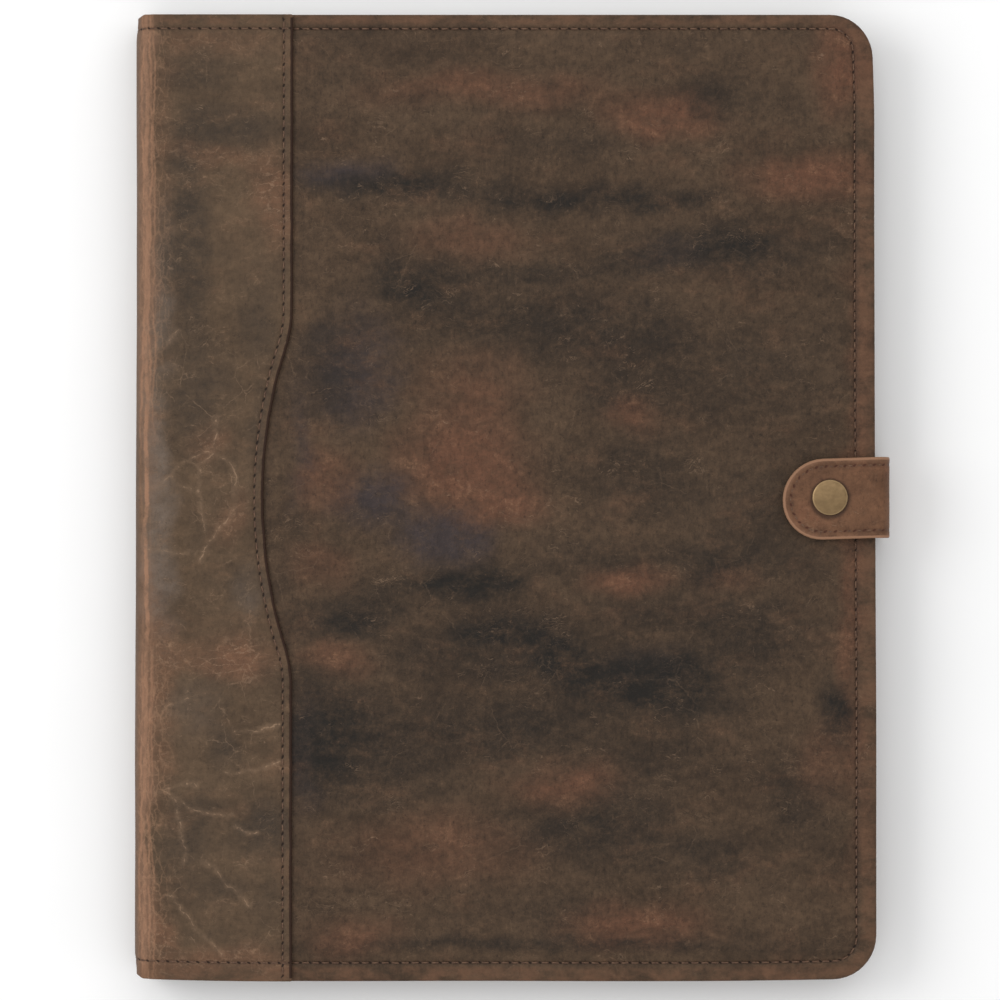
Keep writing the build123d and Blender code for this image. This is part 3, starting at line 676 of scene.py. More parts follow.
def patched(paint, skin, palette, mottle, contrast):
    """Clouded colour with reddish, sooty and greyish patches (on the flap the greyish patches are a painted
    sheen), bare where the red is worn, dark in its pits.
    """
    base, light, red, dark, cool_and_sheen = palette
    middle, nap = skin.middle, skin.nap
    tone = paint.vary(middle, 2.4, paint.step(skin.big, 0.25, 0.75))
    tone = paint.vary(nap, 1.6 * contrast, paint.vary(skin.small, 1.2, tone))
    colour = paint.mix(paint.step(tone, -0.5, 1.5), base, light)
    reddish = paint.step(paint.noise(skin.streaked, 0.05, 5, 0.7), 0.5, 0.75, 0.0, 0.5 * mottle)
    sooty = paint.step(paint.noise(skin.eased, 0.04, 6, 0.7), 0.48, 0.74, 0.0, 0.55 * mottle)
    if cool_and_sheen is not None:
        ragged = paint.times(paint.step(middle, 0.3, 0.6, 0.5, 1.2), paint.step(nap, 0.3, 0.6, 0.65, 1.1))
        reddish = paint.most(reddish, paint.times(paint.attribute("red"), ragged))
        ragged = paint.times(paint.step(middle, 0.7, 0.35, 0.6, 1.2), paint.step(nap, 0.7, 0.35, 0.8, 1.15))
        sooty = paint.most(sooty, paint.times(paint.attribute("dark"), ragged))
        # Greyish patches: the panel's own grey tone, and on the flap a painted sheen
        colour = paint.mix(paint.times(paint.attribute("cool_and_sheen"), ragged), colour, cool_and_sheen)
    colour = paint.mix(reddish, colour, red)
    bare = paint.times(paint.step(middle, 0.5, 0.72), paint.step(nap, 0.42, 0.68))
    colour = paint.mix(paint.times(reddish, bare), colour, srgb(130, 98, 74))
    colour = paint.mix(sooty, colour, dark)
    dim, bright = 1 - 0.13 * contrast, 1 + 0.14 * contrast
    shade = paint.step(paint.noise(skin.eased, 0.28, 3, 0.6), 0.32, 0.68, dim, bright)
    colour = paint.mix(1.0, colour, shade, "MULTIPLY")
    return paint.mix(paint.step(skin.grain, 0.52, 0.05, 0.0, 0.75 * contrast), colour, srgb(20, 14, 10))


def scratched(paint, skin, veins):
    """Fading veins and a few long fine scratches."""
    marks = None
    for size, width in ((0.045, 0.012), (0.1, 0.018)):
        cells = paint.cells(skin.frayed, size, "DISTANCE_TO_EDGE")
        apart = paint.vector("ADD", paint.place, (0, 40 / size, 9))
        fading = paint.step(paint.noise(apart, 0.05, 6, 0.75), 0.52, 0.66)
        line = paint.times(paint.step(cells, width, 0.002, 0.0, veins), fading)
        marks = line if marks is None else paint.most(marks, line)
    for angle, seed in ((24, 3.1), (-38, 17.7), (78, 41.3)):
        lie = paint.vector("ADD", skin.warped, (seed, seed * 2, seed))
        streaks = paint.noise(paint.turned(lie, angle, (0.05, 1.0, 1.0)), 0.42, 2, 0.5)
        line = paint.away(streaks, 0.5)
        apart = paint.vector("ADD", paint.place, (seed, 0, seed))
        broken = paint.step(paint.noise(apart, 0.06, 4, 0.7), 0.55, 0.68)
        marks = paint.most(marks, paint.times(paint.step(line, 0.012, 0.001, 0.0, 0.3), broken))
    return marks


def creased(paint, skin, marks, creases):
    """Adds cracked creases with soft flanks, and a net of small folds where the leather is red or pale."""
    bends = paint.wander(paint.place, 0.14, 2, 0.5)
    crooked = paint.shifted(paint.shifted(paint.place, skin.fray, 2.2), bends, 4.5)
    away = crease_lines(paint, crooked, creases)
    strong = paint.step(skin.nap, 0.3, 0.58, 0.5, 1.0)
    strong = paint.times(paint.step(skin.middle, 0.34, 0.58, 0.3, 0.75), strong)
    marks = paint.most(marks, paint.times(paint.step(away, 0.42, 0.06), strong))
    marks = paint.most(marks, paint.times(paint.step(away, 1.8, 0.0, 0.0, 0.3), strong))
    folds = paint.cells(paint.turned(crooked, 8, (0.45, 1.3, 1.0)), 0.22, "DISTANCE_TO_EDGE")
    folds = paint.times(paint.step(folds, 0.07, 0.005), paint.step(skin.nap, 0.4, 0.62, 0.0, 0.5))
    tender = paint.most(paint.attribute("red"), paint.step(skin.middle, 0.52, 0.68, 0.0, 0.7))
    return paint.most(marks, paint.times(folds, tender))


def sewn(paint, skin, colour, height, rub_colour, hole_shade):
    """Both seam channels: worn by rubbing outside, pressed along the line, with a hole where two stitches
    meet, darkened with painted shade.
    """
    for channel, most_rub in ((0, 0.6), (1, 0.15)):
        off = paint.attribute(f"seam_off_{channel}")
        phase = paint.attribute(f"seam_phase_{channel}")
        outside = paint.times(paint.step(off, -0.4, -2.6), paint.step(off, -30, -11))
        rub = paint.times(outside, paint.step(skin.middle, 0.35, 0.65, 0.0, most_rub))
        colour = paint.mix(rub, colour, rub_colour)
        turn = paint.vary(skin.middle, 0.6, paint.scaled(off, 0.2, phase))
        from_hole = paint.away(paint.math("FRACT", turn), 0.5)
        from_hole = paint.times(paint.math("SUBTRACT", 0.5, from_hole), PITCH * 0.75)
        wavy = paint.vary(skin.small, 0.45, off)
        squares = paint.math("ADD", paint.times(from_hole, from_hole), paint.times(wavy, wavy))
        hole = paint.step(paint.math("SQRT", squares), 0.54, 0.24, 0.0, 0.88)
        pressed = paint.step(paint.math("ABSOLUTE", off), 1.3, 0.2, 0.0, 0.16)
        # Painted shade inside each stitch hole
        colour = paint.mix(hole, paint.mix(pressed, colour, srgb(44, 28, 20)), hole_shade)
        height = paint.math("SUBTRACT", height, paint.times(hole, 1.4))
    return colour, height


def raw_edged(paint, skin, colour, rim, rub_and_painted_light, raw_half):
    """A line along a cut edge and its fibrous wall, only at |y| < raw_half where that is given. On the flap
    both are dark, partly the dyed edge and partly a painted shadow at the flap's foot; on the tab the line is
    pale, partly its burnished edge and partly a painted highlight.
    """
    # The edge line's colour carries painted light: a painted shadow on the flap, a painted highlight on the
    # tab
    line = paint.step(paint.vary(skin.small, 0.5, paint.attribute("inset")), 1.1, 0.75, 0.0, 0.95)
    wall = paint.step(paint.attribute("wall"), 0.05, 0.6)
    if raw_half:
        beside = paint.step(paint.math("ABSOLUTE", paint.split(paint.place)[1]), raw_half, raw_half - 0.3)
        line, wall = paint.times(line, beside), paint.times(wall, beside)
    fibre = paint.mix(paint.step(skin.speck, 0.3, 0.7, 0.0, 0.4), rim, srgb(72, 44, 30))
    return paint.mix(wall, paint.mix(line, colour, rub_and_painted_light), fibre)


def spine_wear(paint, skin, colour, height):
    """The turn beside the spine, worn to tan by rubbing: a muted band, wandering strands and a net of fine
    cracks, and a greyish painted shade where the hide turns down over the fold.
    """
    place, grain = paint.place, skin.grain
    across = paint.attribute("turn")
    along = paint.split(place)[1]
    near = paint.step(across, -136.0, -131.5)
    low = paint.step(along, -38.0, -75.0)
    broad = paint.most(paint.step(along, 8.0, 45.0), low)
    uneven = paint.noise(paint.turned(place, 0, (0.3, 1.0, 1.0)), 0.035, 5, 0.7)
    wide = paint.vary(uneven, -16.0, across)
    rub_and_painted_light = paint.times(paint.step(wide, -121.0, -127.0), paint.step(grain, 0.2, 0.6, 0.5, 0.75))
    rub_and_painted_light = paint.times(rub_and_painted_light, paint.scaled(broad, 0.45, 0.5))
    colour = paint.mix(paint.times(rub_and_painted_light, near), colour, srgb(122, 92, 73))
    rough_edge = paint.vary(grain, 0.6, across)
    strands = None
    for middle, half, seed, strength, in_broad in (
        (-126.3, 0.6, 3.0, 0.75, -0.3), (-127.7, 0.3, 21.0, 0.55, 0.7), (-124.9, 0.25, 47.0, 0.55, 0.8),
        (-123.6, 0.12, 71.0, 0.45, 1.0),
    ):
        apart = paint.vector("ADD", place, (0.0, seed, seed))
        sway = paint.noise(paint.turned(apart, 0, (0.05, 1.0, 1.0)), 0.03, 6, 0.66)
        away = paint.away(paint.vary(sway, 7.0, rough_edge), middle)
        patchy = paint.noise(paint.turned(apart, 0, (1.5, 1.0, 1.0)), 0.16, 4, 0.65)
        patchy = paint.step(patchy, 0.34, 0.58, 0.3 * strength, strength)
        strand = paint.times(paint.step(away, half + 0.5, half - 0.2), patchy)
        strand = paint.times(strand, paint.scaled(broad, in_broad, 1 - max(in_broad, 0.0)))
        strands = strand if strands is None else paint.most(strands, strand)
    colour = paint.mix(paint.times(strands, near), colour, srgb(154, 114, 88))
    net = paint.cells(paint.turned(skin.frayed, 4, (1.0, 0.3, 1.0)), 0.4, "DISTANCE_TO_EDGE")
    net = paint.times(paint.step(net, 0.1, 0.01), paint.step(wide, -114.0, -124.0))
    net = paint.times(net, paint.scaled(broad, 0.15, 0.04))
    net = paint.times(net, paint.scaled(low, 0.4, 1.0))
    net = paint.times(net, paint.times(near, paint.step(grain, 0.25, 0.6, 0.4, 1.0)))
    colour = paint.mix(net, colour, srgb(164, 126, 98))
    # Painted shade: a greyish brown where the hide turns down over the fold
    fold_shade = paint.times(near, paint.step(across, -128.3, -130.5, 0.0, 0.5))
    colour = paint.mix(fold_shade, colour, srgb(84, 70, 60))
    return colour, paint.math("ADD", height, paint.times(net, 0.6))


def leather(name, palette, attribute="rest", mottle=1.0, contrast=1.0, veins=0.4, flecks=0.5, depth=1.0,
            creases=None, wear=None, pressed_and_shadow_ring=None, seam=True, hole_shade=srgb(22, 12, 8),
            rub_colour=srgb(104, 74, 55), rim=None, rub_and_painted_light=None, raw_half=None):
    """Waxed pull-up leather: clouded colour, ragged patches, grain, flecks, scratches and stitch holes
    darkened with painted shade.

    palette is base, light, red and dark, and a fifth for greyish patches where the mesh says they lie; on the
    flap that fifth colour is a painted sheen.
    """
    paint = Paint(name, attribute)
    skin = Skin(paint)
    colour = patched(paint, skin, (*palette, None)[:5], mottle, contrast)
    worn = paint.math("ADD", paint.step(skin.middle, 0.5, 0.7), 0.4)
    fleck = paint.times(paint.step(skin.grain, 0.56, 0.95, 0.0, flecks), worn)
    colour = paint.mix(fleck, colour, srgb(138, 106, 82))
    marks = scratched(paint, skin, veins)
    if creases:
        marks = creased(paint, skin, marks, creases)
    colour = paint.mix(marks, colour, srgb(150, 122, 98))

    height = paint.scaled(skin.grain, 0.5, paint.times(marks, -0.5))
    pores = paint.cells(paint.turned(skin.warped, 20, (1.0, 1.3, 1.0)), 0.9)
    height = paint.scaled(paint.step(pores, 0.1, 0.7), 0.35, height)
    rough = paint.math("ADD", paint.vary(skin.middle, 0.25, 0.56), paint.times(fleck, 0.15))
    if wear:
        colour, height = wear(paint, skin, colour, height)
    if pressed_and_shadow_ring:
        x, y, radius = pressed_and_shadow_ring
        # Dark ring round the snap cap: partly leather pressed down by the cap, partly a painted shadow under
        # its rim
        away = paint.vector("DISTANCE", paint.vector("MULTIPLY", paint.place, (1, 1, 0)), (x, y, 0))
        away = paint.vary(skin.small, 0.8, away)
        colour = paint.mix(paint.step(away, radius + 1.7, radius + 0.1, 0.0, 0.75), colour, srgb(48, 32, 22))
    if seam:
        colour, height = sewn(paint, skin, colour, height, rub_colour, hole_shade)
    if rim is not None:
        colour = raw_edged(paint, skin, colour, rim, rub_and_painted_light, raw_half)
    normal = paint.bump(height, 0.6 * depth, 0.22)
    normal = paint.bump(skin.middle, 0.25, 0.9, normal)
    return paint.finish(colour, rough, normal, Specular_IOR_Level=0.17)


PANEL = (srgb(57, 43, 31), srgb(82, 64, 48), srgb(96, 64, 47), srgb(29, 25, 21), srgb(56, 47, 46))
HIDE = (srgb(67, 52, 38), srgb(92, 73, 55), srgb(104, 74, 55), srgb(54, 45, 37))
# Grey-brown of the flap's painted sheen
HIDE_SHEEN = srgb(101, 87, 76)
TAB = (srgb(84, 57, 40), srgb(111, 78, 56), srgb(114, 74, 54), srgb(72, 49, 36))
INNER = (srgb(78, 54, 40), srgb(92, 66, 48), srgb(96, 60, 43), srgb(62, 47, 38))
WELT = (srgb(70, 48, 36), srgb(84, 60, 44), srgb(90, 56, 40), srgb(56, 42, 34))

panel_leather = leather("panel_leather", PANEL, mottle=0.5, veins=0.12)
hide_leather = leather("hide_leather", (*HIDE, HIDE_SHEEN), wear=spine_wear, mottle=0.6, creases=CREASES,
                       # Dark edge line and wall of the flap: partly its dyed edge, partly a painted shadow at
                       # the foot of the cut edge
                       veins=0.3, flecks=0.3, contrast=0.65, rim=srgb(50, 30, 20), rub_and_painted_light=srgb(40, 22, 12),
                       raw_half=HALF - 1.0)
back_leather = leather("back_leather", HIDE, wear=spine_wear, mottle=0.6, veins=0.3, flecks=0.45)
tab_leather = leather("tab_leather", TAB, mottle=1.3, veins=0.1, flecks=0.4, contrast=0.8,
                      # Pale edge line of the tab: partly its burnished edge, partly a painted highlight
                      rim=srgb(146, 112, 86), rub_and_painted_light=srgb(142, 106, 82), hole_shade=srgb(66, 36, 26),
                      rub_colour=srgb(132, 100, 79), pressed_and_shadow_ring=(TAB_CAP_U + TAB_REST, CAP.y, CAP_RADIUS))
inner_leather = leather("inner_leather", INNER, None, seam=False, veins=0.1, flecks=0.2, depth=0.8)
pocket_edge = leather("pocket_edge", WELT, None, seam=False, veins=0.0, flecks=0.2, depth=0.8)


def thread_material():
    """Twisted waxed thread, with darker streaks along its twist."""
    paint = Paint("thread", "rest")
    tone = paint.noise(paint.place, 0.9, 3, 0.6)
    twist = paint.noise(paint.turned(paint.place, 35, (3.0, 0.4, 1.0)), 1.6, 2, 0.5)
    colour = paint.mix(paint.step(tone, 0.35, 0.65), srgb(74, 50, 37), srgb(112, 84, 64))
    colour = paint.mix(paint.step(twist, 0.45, 0.6, 0.0, 0.35), colour, srgb(44, 30, 22))
    normal = paint.bump(twist, 0.6, 0.1)
    return paint.finish(colour, 0.6, normal, Specular_IOR_Level=0.35)


def cloth_material(name, dark, light, attribute="rest", pitch=0.9):
    """Plain-woven lining cloth."""
    paint = Paint(name, attribute)
    across, along, _ = paint.split(paint.place)
    turns = 2 * math.pi / pitch
    warp = paint.math("SINE", paint.times(across, turns))
    weft = paint.math("SINE", paint.times(along, turns))
    weave = paint.times(warp, weft)
    slub = paint.noise(paint.turned(paint.place, 0, (1.0, 0.12, 1.0)), 0.8, 4, 0.6)
    cloud = paint.noise(paint.place, 0.03, 4, 0.6)
    tone = paint.scaled(slub, 0.5, paint.times(cloud, 0.5))
    tone = paint.scaled(weave, 0.22, tone)
    colour = paint.mix(paint.step(tone, 0.2, 0.8), dark, light)
    normal = paint.bump(paint.scaled(weave, 0.5, slub), 0.5, 0.15)
    return paint.finish(colour, 0.85, normal, Sheen_Weight=0.25, Sheen_Roughness=0.4, Specular_IOR_Level=0.2)


def brass_material():
    """Brushed brass, browned in patches, its rim painted bright all round as a highlight."""
    paint = Paint("antique_brass")
    brushed = paint.noise(paint.turned(paint.place, 28, (0.7, 1.2, 1.0)), 0.5, 4, 0.5)
    tarnish = paint.noise(paint.place, 0.45, 5, 0.65)
    colour = paint.mix(paint.step(brushed, 0.3, 0.7), srgb(122, 100, 71), srgb(136, 112, 80))
    colour = paint.mix(paint.step(tarnish, 0.42, 0.72, 0.0, 0.3), colour, srgb(104, 84, 58))
    # Painted highlight: the cap's rim lightened all round
    from_axis = paint.vector("DISTANCE", paint.vector("MULTIPLY", paint.place, (1, 1, 0)), (CAP.x, CAP.y, 0))
    edge = paint.step(from_axis, CAP_RADIUS - 0.55, CAP_RADIUS - 0.3, 0.0, 0.5)
    colour = paint.mix(edge, colour, srgb(178, 150, 112))
    rough = paint.step(tarnish, 0.3, 0.7, 0.34, 0.5)
    normal = paint.bump(brushed, 0.2, 0.05)
    return paint.finish(colour, rough, normal, Metallic=0.85)


def steel_material():
    """Drawn spring wire."""
    paint = Paint("spring_steel")
    drawn = paint.noise(paint.turned(paint.place, 0, (1.0, 1.0, 6.0)), 2.0, 3, 0.6)
    colour = paint.mix(drawn, srgb(120, 120, 118), srgb(182, 182, 178))
    rough = paint.step(drawn, 0.3, 0.7, 0.25, 0.42)
    return paint.finish(colour, rough, paint.bump(drawn, 0.15, 0.03), Metallic=1.0)


def paper_material():
    """Writing paper: faint ruling on the top sheet and the layered edges of the block."""
    paint = Paint("writing_paper")
    line_gap, first_line = 7.1, 116.0
    along = paint.split(paint.place)[1]
    upward = paint.split(paint.node("ShaderNodeNewGeometry").outputs["Normal"])[2]
    page = paint.step(paint.math("ABSOLUTE", upward), 0.6, 0.8)
    pulp = paint.noise(paint.place, 0.7, 4, 0.6)
    sheets = paint.noise(paint.turned(paint.place, 0, (0.015, 0.015, 7.0)), 1.0, 2, 0.6)
    colour = paint.mix(paint.step(pulp, 0.3, 0.7), srgb(236, 231, 216), srgb(246, 243, 232))
    ruled = paint.away(paint.math("FRACT", paint.math("DIVIDE", along, line_gap)), 0.5)
    line = paint.times(paint.step(ruled, 0.03, 0.012), page)
    line = paint.times(line, paint.step(along, first_line + 2.0, first_line))
    colour = paint.mix(paint.times(line, 0.5), colour, srgb(150, 170, 190))
    edge = paint.times(paint.math("SUBTRACT", 1.0, page), paint.step(sheets, 0.62, 0.38, 0.0, 0.55))
    colour = paint.mix(edge, colour, srgb(172, 164, 146))
    normal = paint.bump(paint.math("ADD", paint.times(pulp, 0.15), edge), 0.35, 0.12)
    return paint.finish(colour, 0.82, normal, Specular_IOR_Level=0.2)


def board_material(name, dark, light):
    """Grey board, flecked with fibres."""
    paint = Paint(name)
    fibre = paint.noise(paint.turned(paint.place, 30, (0.5, 2.5, 1.0)), 1.2, 5, 0.7)
    fleck = paint.noise(paint.place, 2.4, 2, 0.5)
    colour = paint.mix(paint.step(fibre, 0.35, 0.65), dark, light)
    colour = paint.mix(paint.step(fleck, 0.66, 0.74, 0.0, 0.6), colour, srgb(70, 62, 52))
    return paint.finish(colour, 0.9, paint.bump(fibre, 0.4, 0.08), Specular_IOR_Level=0.2)


thread = thread_material()
lining_cloth = cloth_material("lining_cloth", srgb(58, 47, 39), srgb(84, 69, 56))
tape_cloth = cloth_material("binding_tape", srgb(34, 30, 28), srgb(58, 52, 48), attribute=None, pitch=0.7)
brass = brass_material()
steel = steel_material()
paper = paper_material()
grey_board = board_material("grey_board", srgb(142, 136, 124), srgb(170, 163, 150))
cover_board = board_material("cover_board", srgb(120, 104, 84), srgb(146, 128, 104))


def wear_material(piece, material):
    """Gives a new piece its material."""
    piece.data.materials.clear()
    piece.data.materials.append(material)


def dress(nodes, material, bevel=None):
    """Gives CAD nodes a finished material and, where asked, softened edges."""
    for node in nodes:
        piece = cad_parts[node]
        if not piece.material_slots:
            piece.data.materials.append(material)
        for slot in piece.material_slots:
            slot.material = material
        if bevel:
            modifier = piece.modifiers.new("softened", "BEVEL")
            modifier.width = bevel * MM
            modifier.segments = 3
            modifier.limit_method = "ANGLE"
            modifier.harden_normals = False


# ---------------------------------------------------------------- camera and light


def make_camera():
    """Looks straight down on the case from far enough to show no perspective on its sides."""
    view_width = 352.0
    height = 2000.0
    data = bpy.data.cameras.new("camera")
    data.sensor_width = 36.0
    data.lens = data.sensor_width * height / view_width
    data.clip_end = 20.0
    camera = bpy.data.objects.new("camera", data)
    camera.location = Vector((-1.9, -0.9, panel_high.z + height)) * MM
    bpy.context.scene.collection.objects.link(camera)
    bpy.context.scene.camera = camera


def make_studio():
    """Pale floor, even sky and two soft lamps."""
    scene = bpy.context.scene
    scene.view_settings.view_transform = "Standard"
    world = bpy.data.worlds.new("studio")
    scene.world = world
    world.use_nodes = True
    background = world.node_tree.nodes["Background"]
    background.inputs["Color"].default_value = (1.0, 1.0, 1.0, 1.0)
    background.inputs["Strength"].default_value = 0.83
    for name, place, size, power in (
        ("key_light", (-1.15, 0.35, 1.25), 0.9, 9.5),
        ("fill_light", (0.3, 0.9, 1.9), 1.6, 6.0),
    ):
        data = bpy.data.lights.new(name, "AREA")
        data.size = size
        data.energy = power
        lamp = bpy.data.objects.new(name, data)
        lamp.location = place
        lamp.rotation_euler = (-Vector(place)).to_track_quat("-Z", "Y").to_euler()
        scene.collection.objects.link(lamp)
    bm = bmesh.new()
    bmesh.ops.create_grid(bm, x_segments=4, y_segments=4, size=4.0)
    floor = finish_mesh("floor", bm, smooth_faces=False)
    paint = Paint("floor_paper")
    pulp = paint.noise(paint.place, 0.02, 3, 0.5)
    colour = paint.mix(pulp, srgb(243, 243, 243), srgb(247, 247, 247))
    floor.data.materials.append(paint.finish(colour, 0.9, Specular_IOR_Level=0.1))


# ---------------------------------------------------------------- the hides

# Rings round a sheet's edge as (inset, lift, share of relief): the turned edge of a cover, its lifts in
# shares of the hem, and the cut edge of the flap, its lifts in shares of the leather. Then the insets of
# the rings on top, close together where a seam runs.
HEMMED_EDGE = [
    (9.0, -1.0, 0), (0.9, -1.0, 0), (0.3, -0.95, 0), (0.03, -0.84, 0), (0.0, -0.68, 0), (0.0, -0.34, 0.3),
    (0.12, -0.17, 0.6), (0.38, -0.07, 0.9), (0.8, -0.02, 1), (1.3, 0.0, 1),
]
HEMMED_TOP = (1.9, 2.7, 3.5, 4.1, 4.55, 5.0, 5.45, 5.9, 6.4, 6.8, 7.2, 7.7, 8.4, 9.4, 10.6, 12.2, 14.0, 16.0)
CUT_EDGE = [
    (6.0, -1.0, 0), (0.3, -1.0, 0), (0.06, -0.94, 0), (0.0, -0.8, 0), (0.0, -0.3, 0), (0.05, -0.14, 0.5),
    (0.18, -0.05, 0.8), (0.45, 0.0, 1), (0.9, 0.0, 1),
]
CUT_TOP = (1.4, 1.9, 2.35, 2.75, 3.2, 3.65, 4.1, 4.6, 5.0, 5.4, 5.9, 6.5, 7.1, 8.0, 9.5)


def rings_of(edge, scale, insets):
    """Rings round an edge, its lifts times scale, and in over the top."""
    return [(inset, lift * scale, share) for inset, lift, share in edge] + [(i, 0.0, 1) for i in insets]


def up_and_round(rise, flat, step, fine):
    """Stations up to a fold and, closer together, round it to the flat."""
    return spread(0, rise, step) + spread(rise, flat, fine)[1:]


def sew(*layout, **settings):
    """Stitches of thread."""
    stitches = stitch_mesh(*layout, **settings)
    wear_material(stitches, thread)
    return stitches


def groove(off, depth, width=0.62):
    """How far a seam pulls the leather down at a distance off from it."""
    return depth * math.exp(-((off / width) ** 2))


def ripple(u, v, scale, seed):
    return noise.noise(Vector((u * scale, v * scale, seed)))


def hide_relief(seed, puff=0.14):
    """Height of a hide sewn over its board: pressed flat outside the seam, risen inside it."""

    def relief(u, v, offs):
        off = offs[0]
        soft = puff * ripple(u, v, 0.028, seed) + 0.05 * ripple(u, v, 0.12, seed + 9)
        if off == FAR:
            return 0.12 + soft
        pucker = 0.05 * ripple(u, v, 0.5, seed + 4)
        risen = -0.24 + 0.36 * smooth((off - 1.4) / 3.6)
        return risen + soft * smooth(abs(off) / 3) - groove(off, 0.34) + pucker

    return relief


def make_front_panel():
    """The front's main leather, its left edge hidden under the flap."""
    start = FOLD_X + 0.4
    width = RIGHT - start
    roll = Roll(start, panel_high.z, 0, width, 0.0, 0, width, 1)
    seam = Seam(u_seam(0, width - SEAM_FORE, HALF - SEAM_HEAD, HALF - SEAM_FOOT, SEAM_CORNER))
    panel = sheet_mesh("front_panel", roll, spread(0, width - CORNER, 2.2), HALF, CORNER,
                       rings_of(HEMMED_EDGE, HEM, HEMMED_TOP), 150, relief=hide_relief(2.0), seams=[[seam]],
                       rest=lambda u, v: (u + start, v), tints=PANEL_TINTS, shape=settled)
    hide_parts("front_leather")
    wear_material(panel, panel_leather)
    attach(panel, "front_cover")
    stitches = sew("front_stitches", roll, [seam], -0.42, shape=settled,
                   skip=lambda middle: middle.x + start < FLAP_EDGE - 1.0)
    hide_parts("front_seam_thread")
    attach(stitches, "front_cover")


def make_flap():
    """The hide's front end: half the spine, the fold and the flap with its scooped raw edge."""
    rise = spine_high.z - SPINE_MID
    arc = math.pi / 2 * FOLD
    flat = rise + arc
    reach = flat + FLAP_EDGE - FOLD_X
    roll = Roll(SPINE_X, SPINE_MID, 90, rise, FOLD, -1, reach, 1)

    def to_x(u):
        return FOLD_X + u - flat

    def end(v):
        fray = 0.22 * noise.noise(Vector((v * 0.11, 3.0, 1.0)))
        fray += 0.1 * noise.noise(Vector((v * 0.5, 8.0, 1.0)))
        return scoop_edge(v) - FOLD_X + flat + fray * smooth((HALF - 12 - abs(v)) / 6)

    def depth(u):
        if u > flat + 0.3:
            return LEATHER
        under = spine_high.z + FOLD - lining_high.z
        return HEM + (under - HEM) * smooth((u - rise) / arc)

    def relief(u, v, offs):
        wrinkle = 0.12 * noise.noise(Vector((u * 0.8, v * 0.03, 7.0))) * smooth(1 - abs(u - flat + 2) / 12)
        soft = 0.1 * ripple(u, v, 0.03, 5.0) * smooth((end(v) - u) / 3.0)
        return soft + wrinkle - max(groove(off, 0.26) for off in offs)

    head = Seam([(reach - 0.8, HALF - SEAM_HEAD), (1.0, HALF - SEAM_HEAD)])
    foot = Seam([(1.0, -HALF + SEAM_FOOT), (reach - 0.8, -HALF + SEAM_FOOT)])
    rows = spread(-HALF + 2.0, HALF - 2.0, 1.5)
    edge_seam = Seam([(scoop_edge(v, FLAP_SEAM) - FOLD_X + flat, v) for v in rows], FLAP_PITCH)
    stations = up_and_round(rise, flat, 1.3, 0.55) + [flat + 0.3, flat + 0.35]
    stations += spread(flat + 1.5, reach - 0.6, 1.8)
    flap = sheet_mesh("flap_hide", roll, stations, HALF, 0.6, rings_of(CUT_EDGE, 1.0, CUT_TOP), 230, end=end,
                      relief=relief, hem=depth, seams=[[head, foot], [edge_seam]],
                      rest=lambda u, v: (to_x(u), v), turn=to_x, tints=FLAP_TINTS, shape=settled)
    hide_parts("front_flap", "spine_fold_front")
    wear_material(flap, hide_leather)
    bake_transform(flap)
    stitches = sew("flap_stitches", roll, [head, foot, edge_seam], -0.3, shape=settled)
    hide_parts("flap_seam_thread")
    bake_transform(stitches)


def make_back():
    """The hide's other end: half the spine, the fold and the whole back."""
    drop = SPINE_MID - spine_low.z
    arc = math.pi / 2 * FOLD
    flat = drop + arc
    reach = flat + RIGHT - FOLD_X
    middle_x = FOLD_X - (spine_high.z - SPINE_MID) - arc
    roll = Roll(SPINE_X, SPINE_MID, -90, drop, FOLD, 1, reach, -1)
    seam = Seam(u_seam(1.0, reach - SEAM_FORE, HALF - SEAM_HEAD, HALF - SEAM_FOOT, SEAM_CORNER))
    over_board = hide_relief(12.0, 0.0)

    def relief(u, v, offs):
        return min(over_board(u, v, offs), 0.12) - 0.12

    stations = up_and_round(drop, flat, 1.3, 0.55) + spread(flat + 2.0, reach - CORNER, 2.4)
    back = sheet_mesh("back_hide", roll, stations, HALF, CORNER, rings_of(HEMMED_EDGE, HEM, HEMMED_TOP), 140,
                      relief=relief, seams=[[seam]], rest=lambda u, v: (middle_x - u, v),
                      turn=lambda u: FOLD_X + u - flat, shape=settled)
    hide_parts("back_leather", "spine_fold_back", "spine_leather")
    wear_material(back, back_leather)
    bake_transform(back)
    stitches = sew("back_stitches", roll, [seam], -0.62, shape=settled)
    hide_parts("back_seam_thread", "spine_seam_thread")
    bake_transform(stitches)


# ---------------------------------------------------------------- the lining

LINING_TOP = (3.5, 4.4, 5.0, 5.6, 6.2, 6.8, 7.4, 8.2, 9.4, 12.0, 16.0)


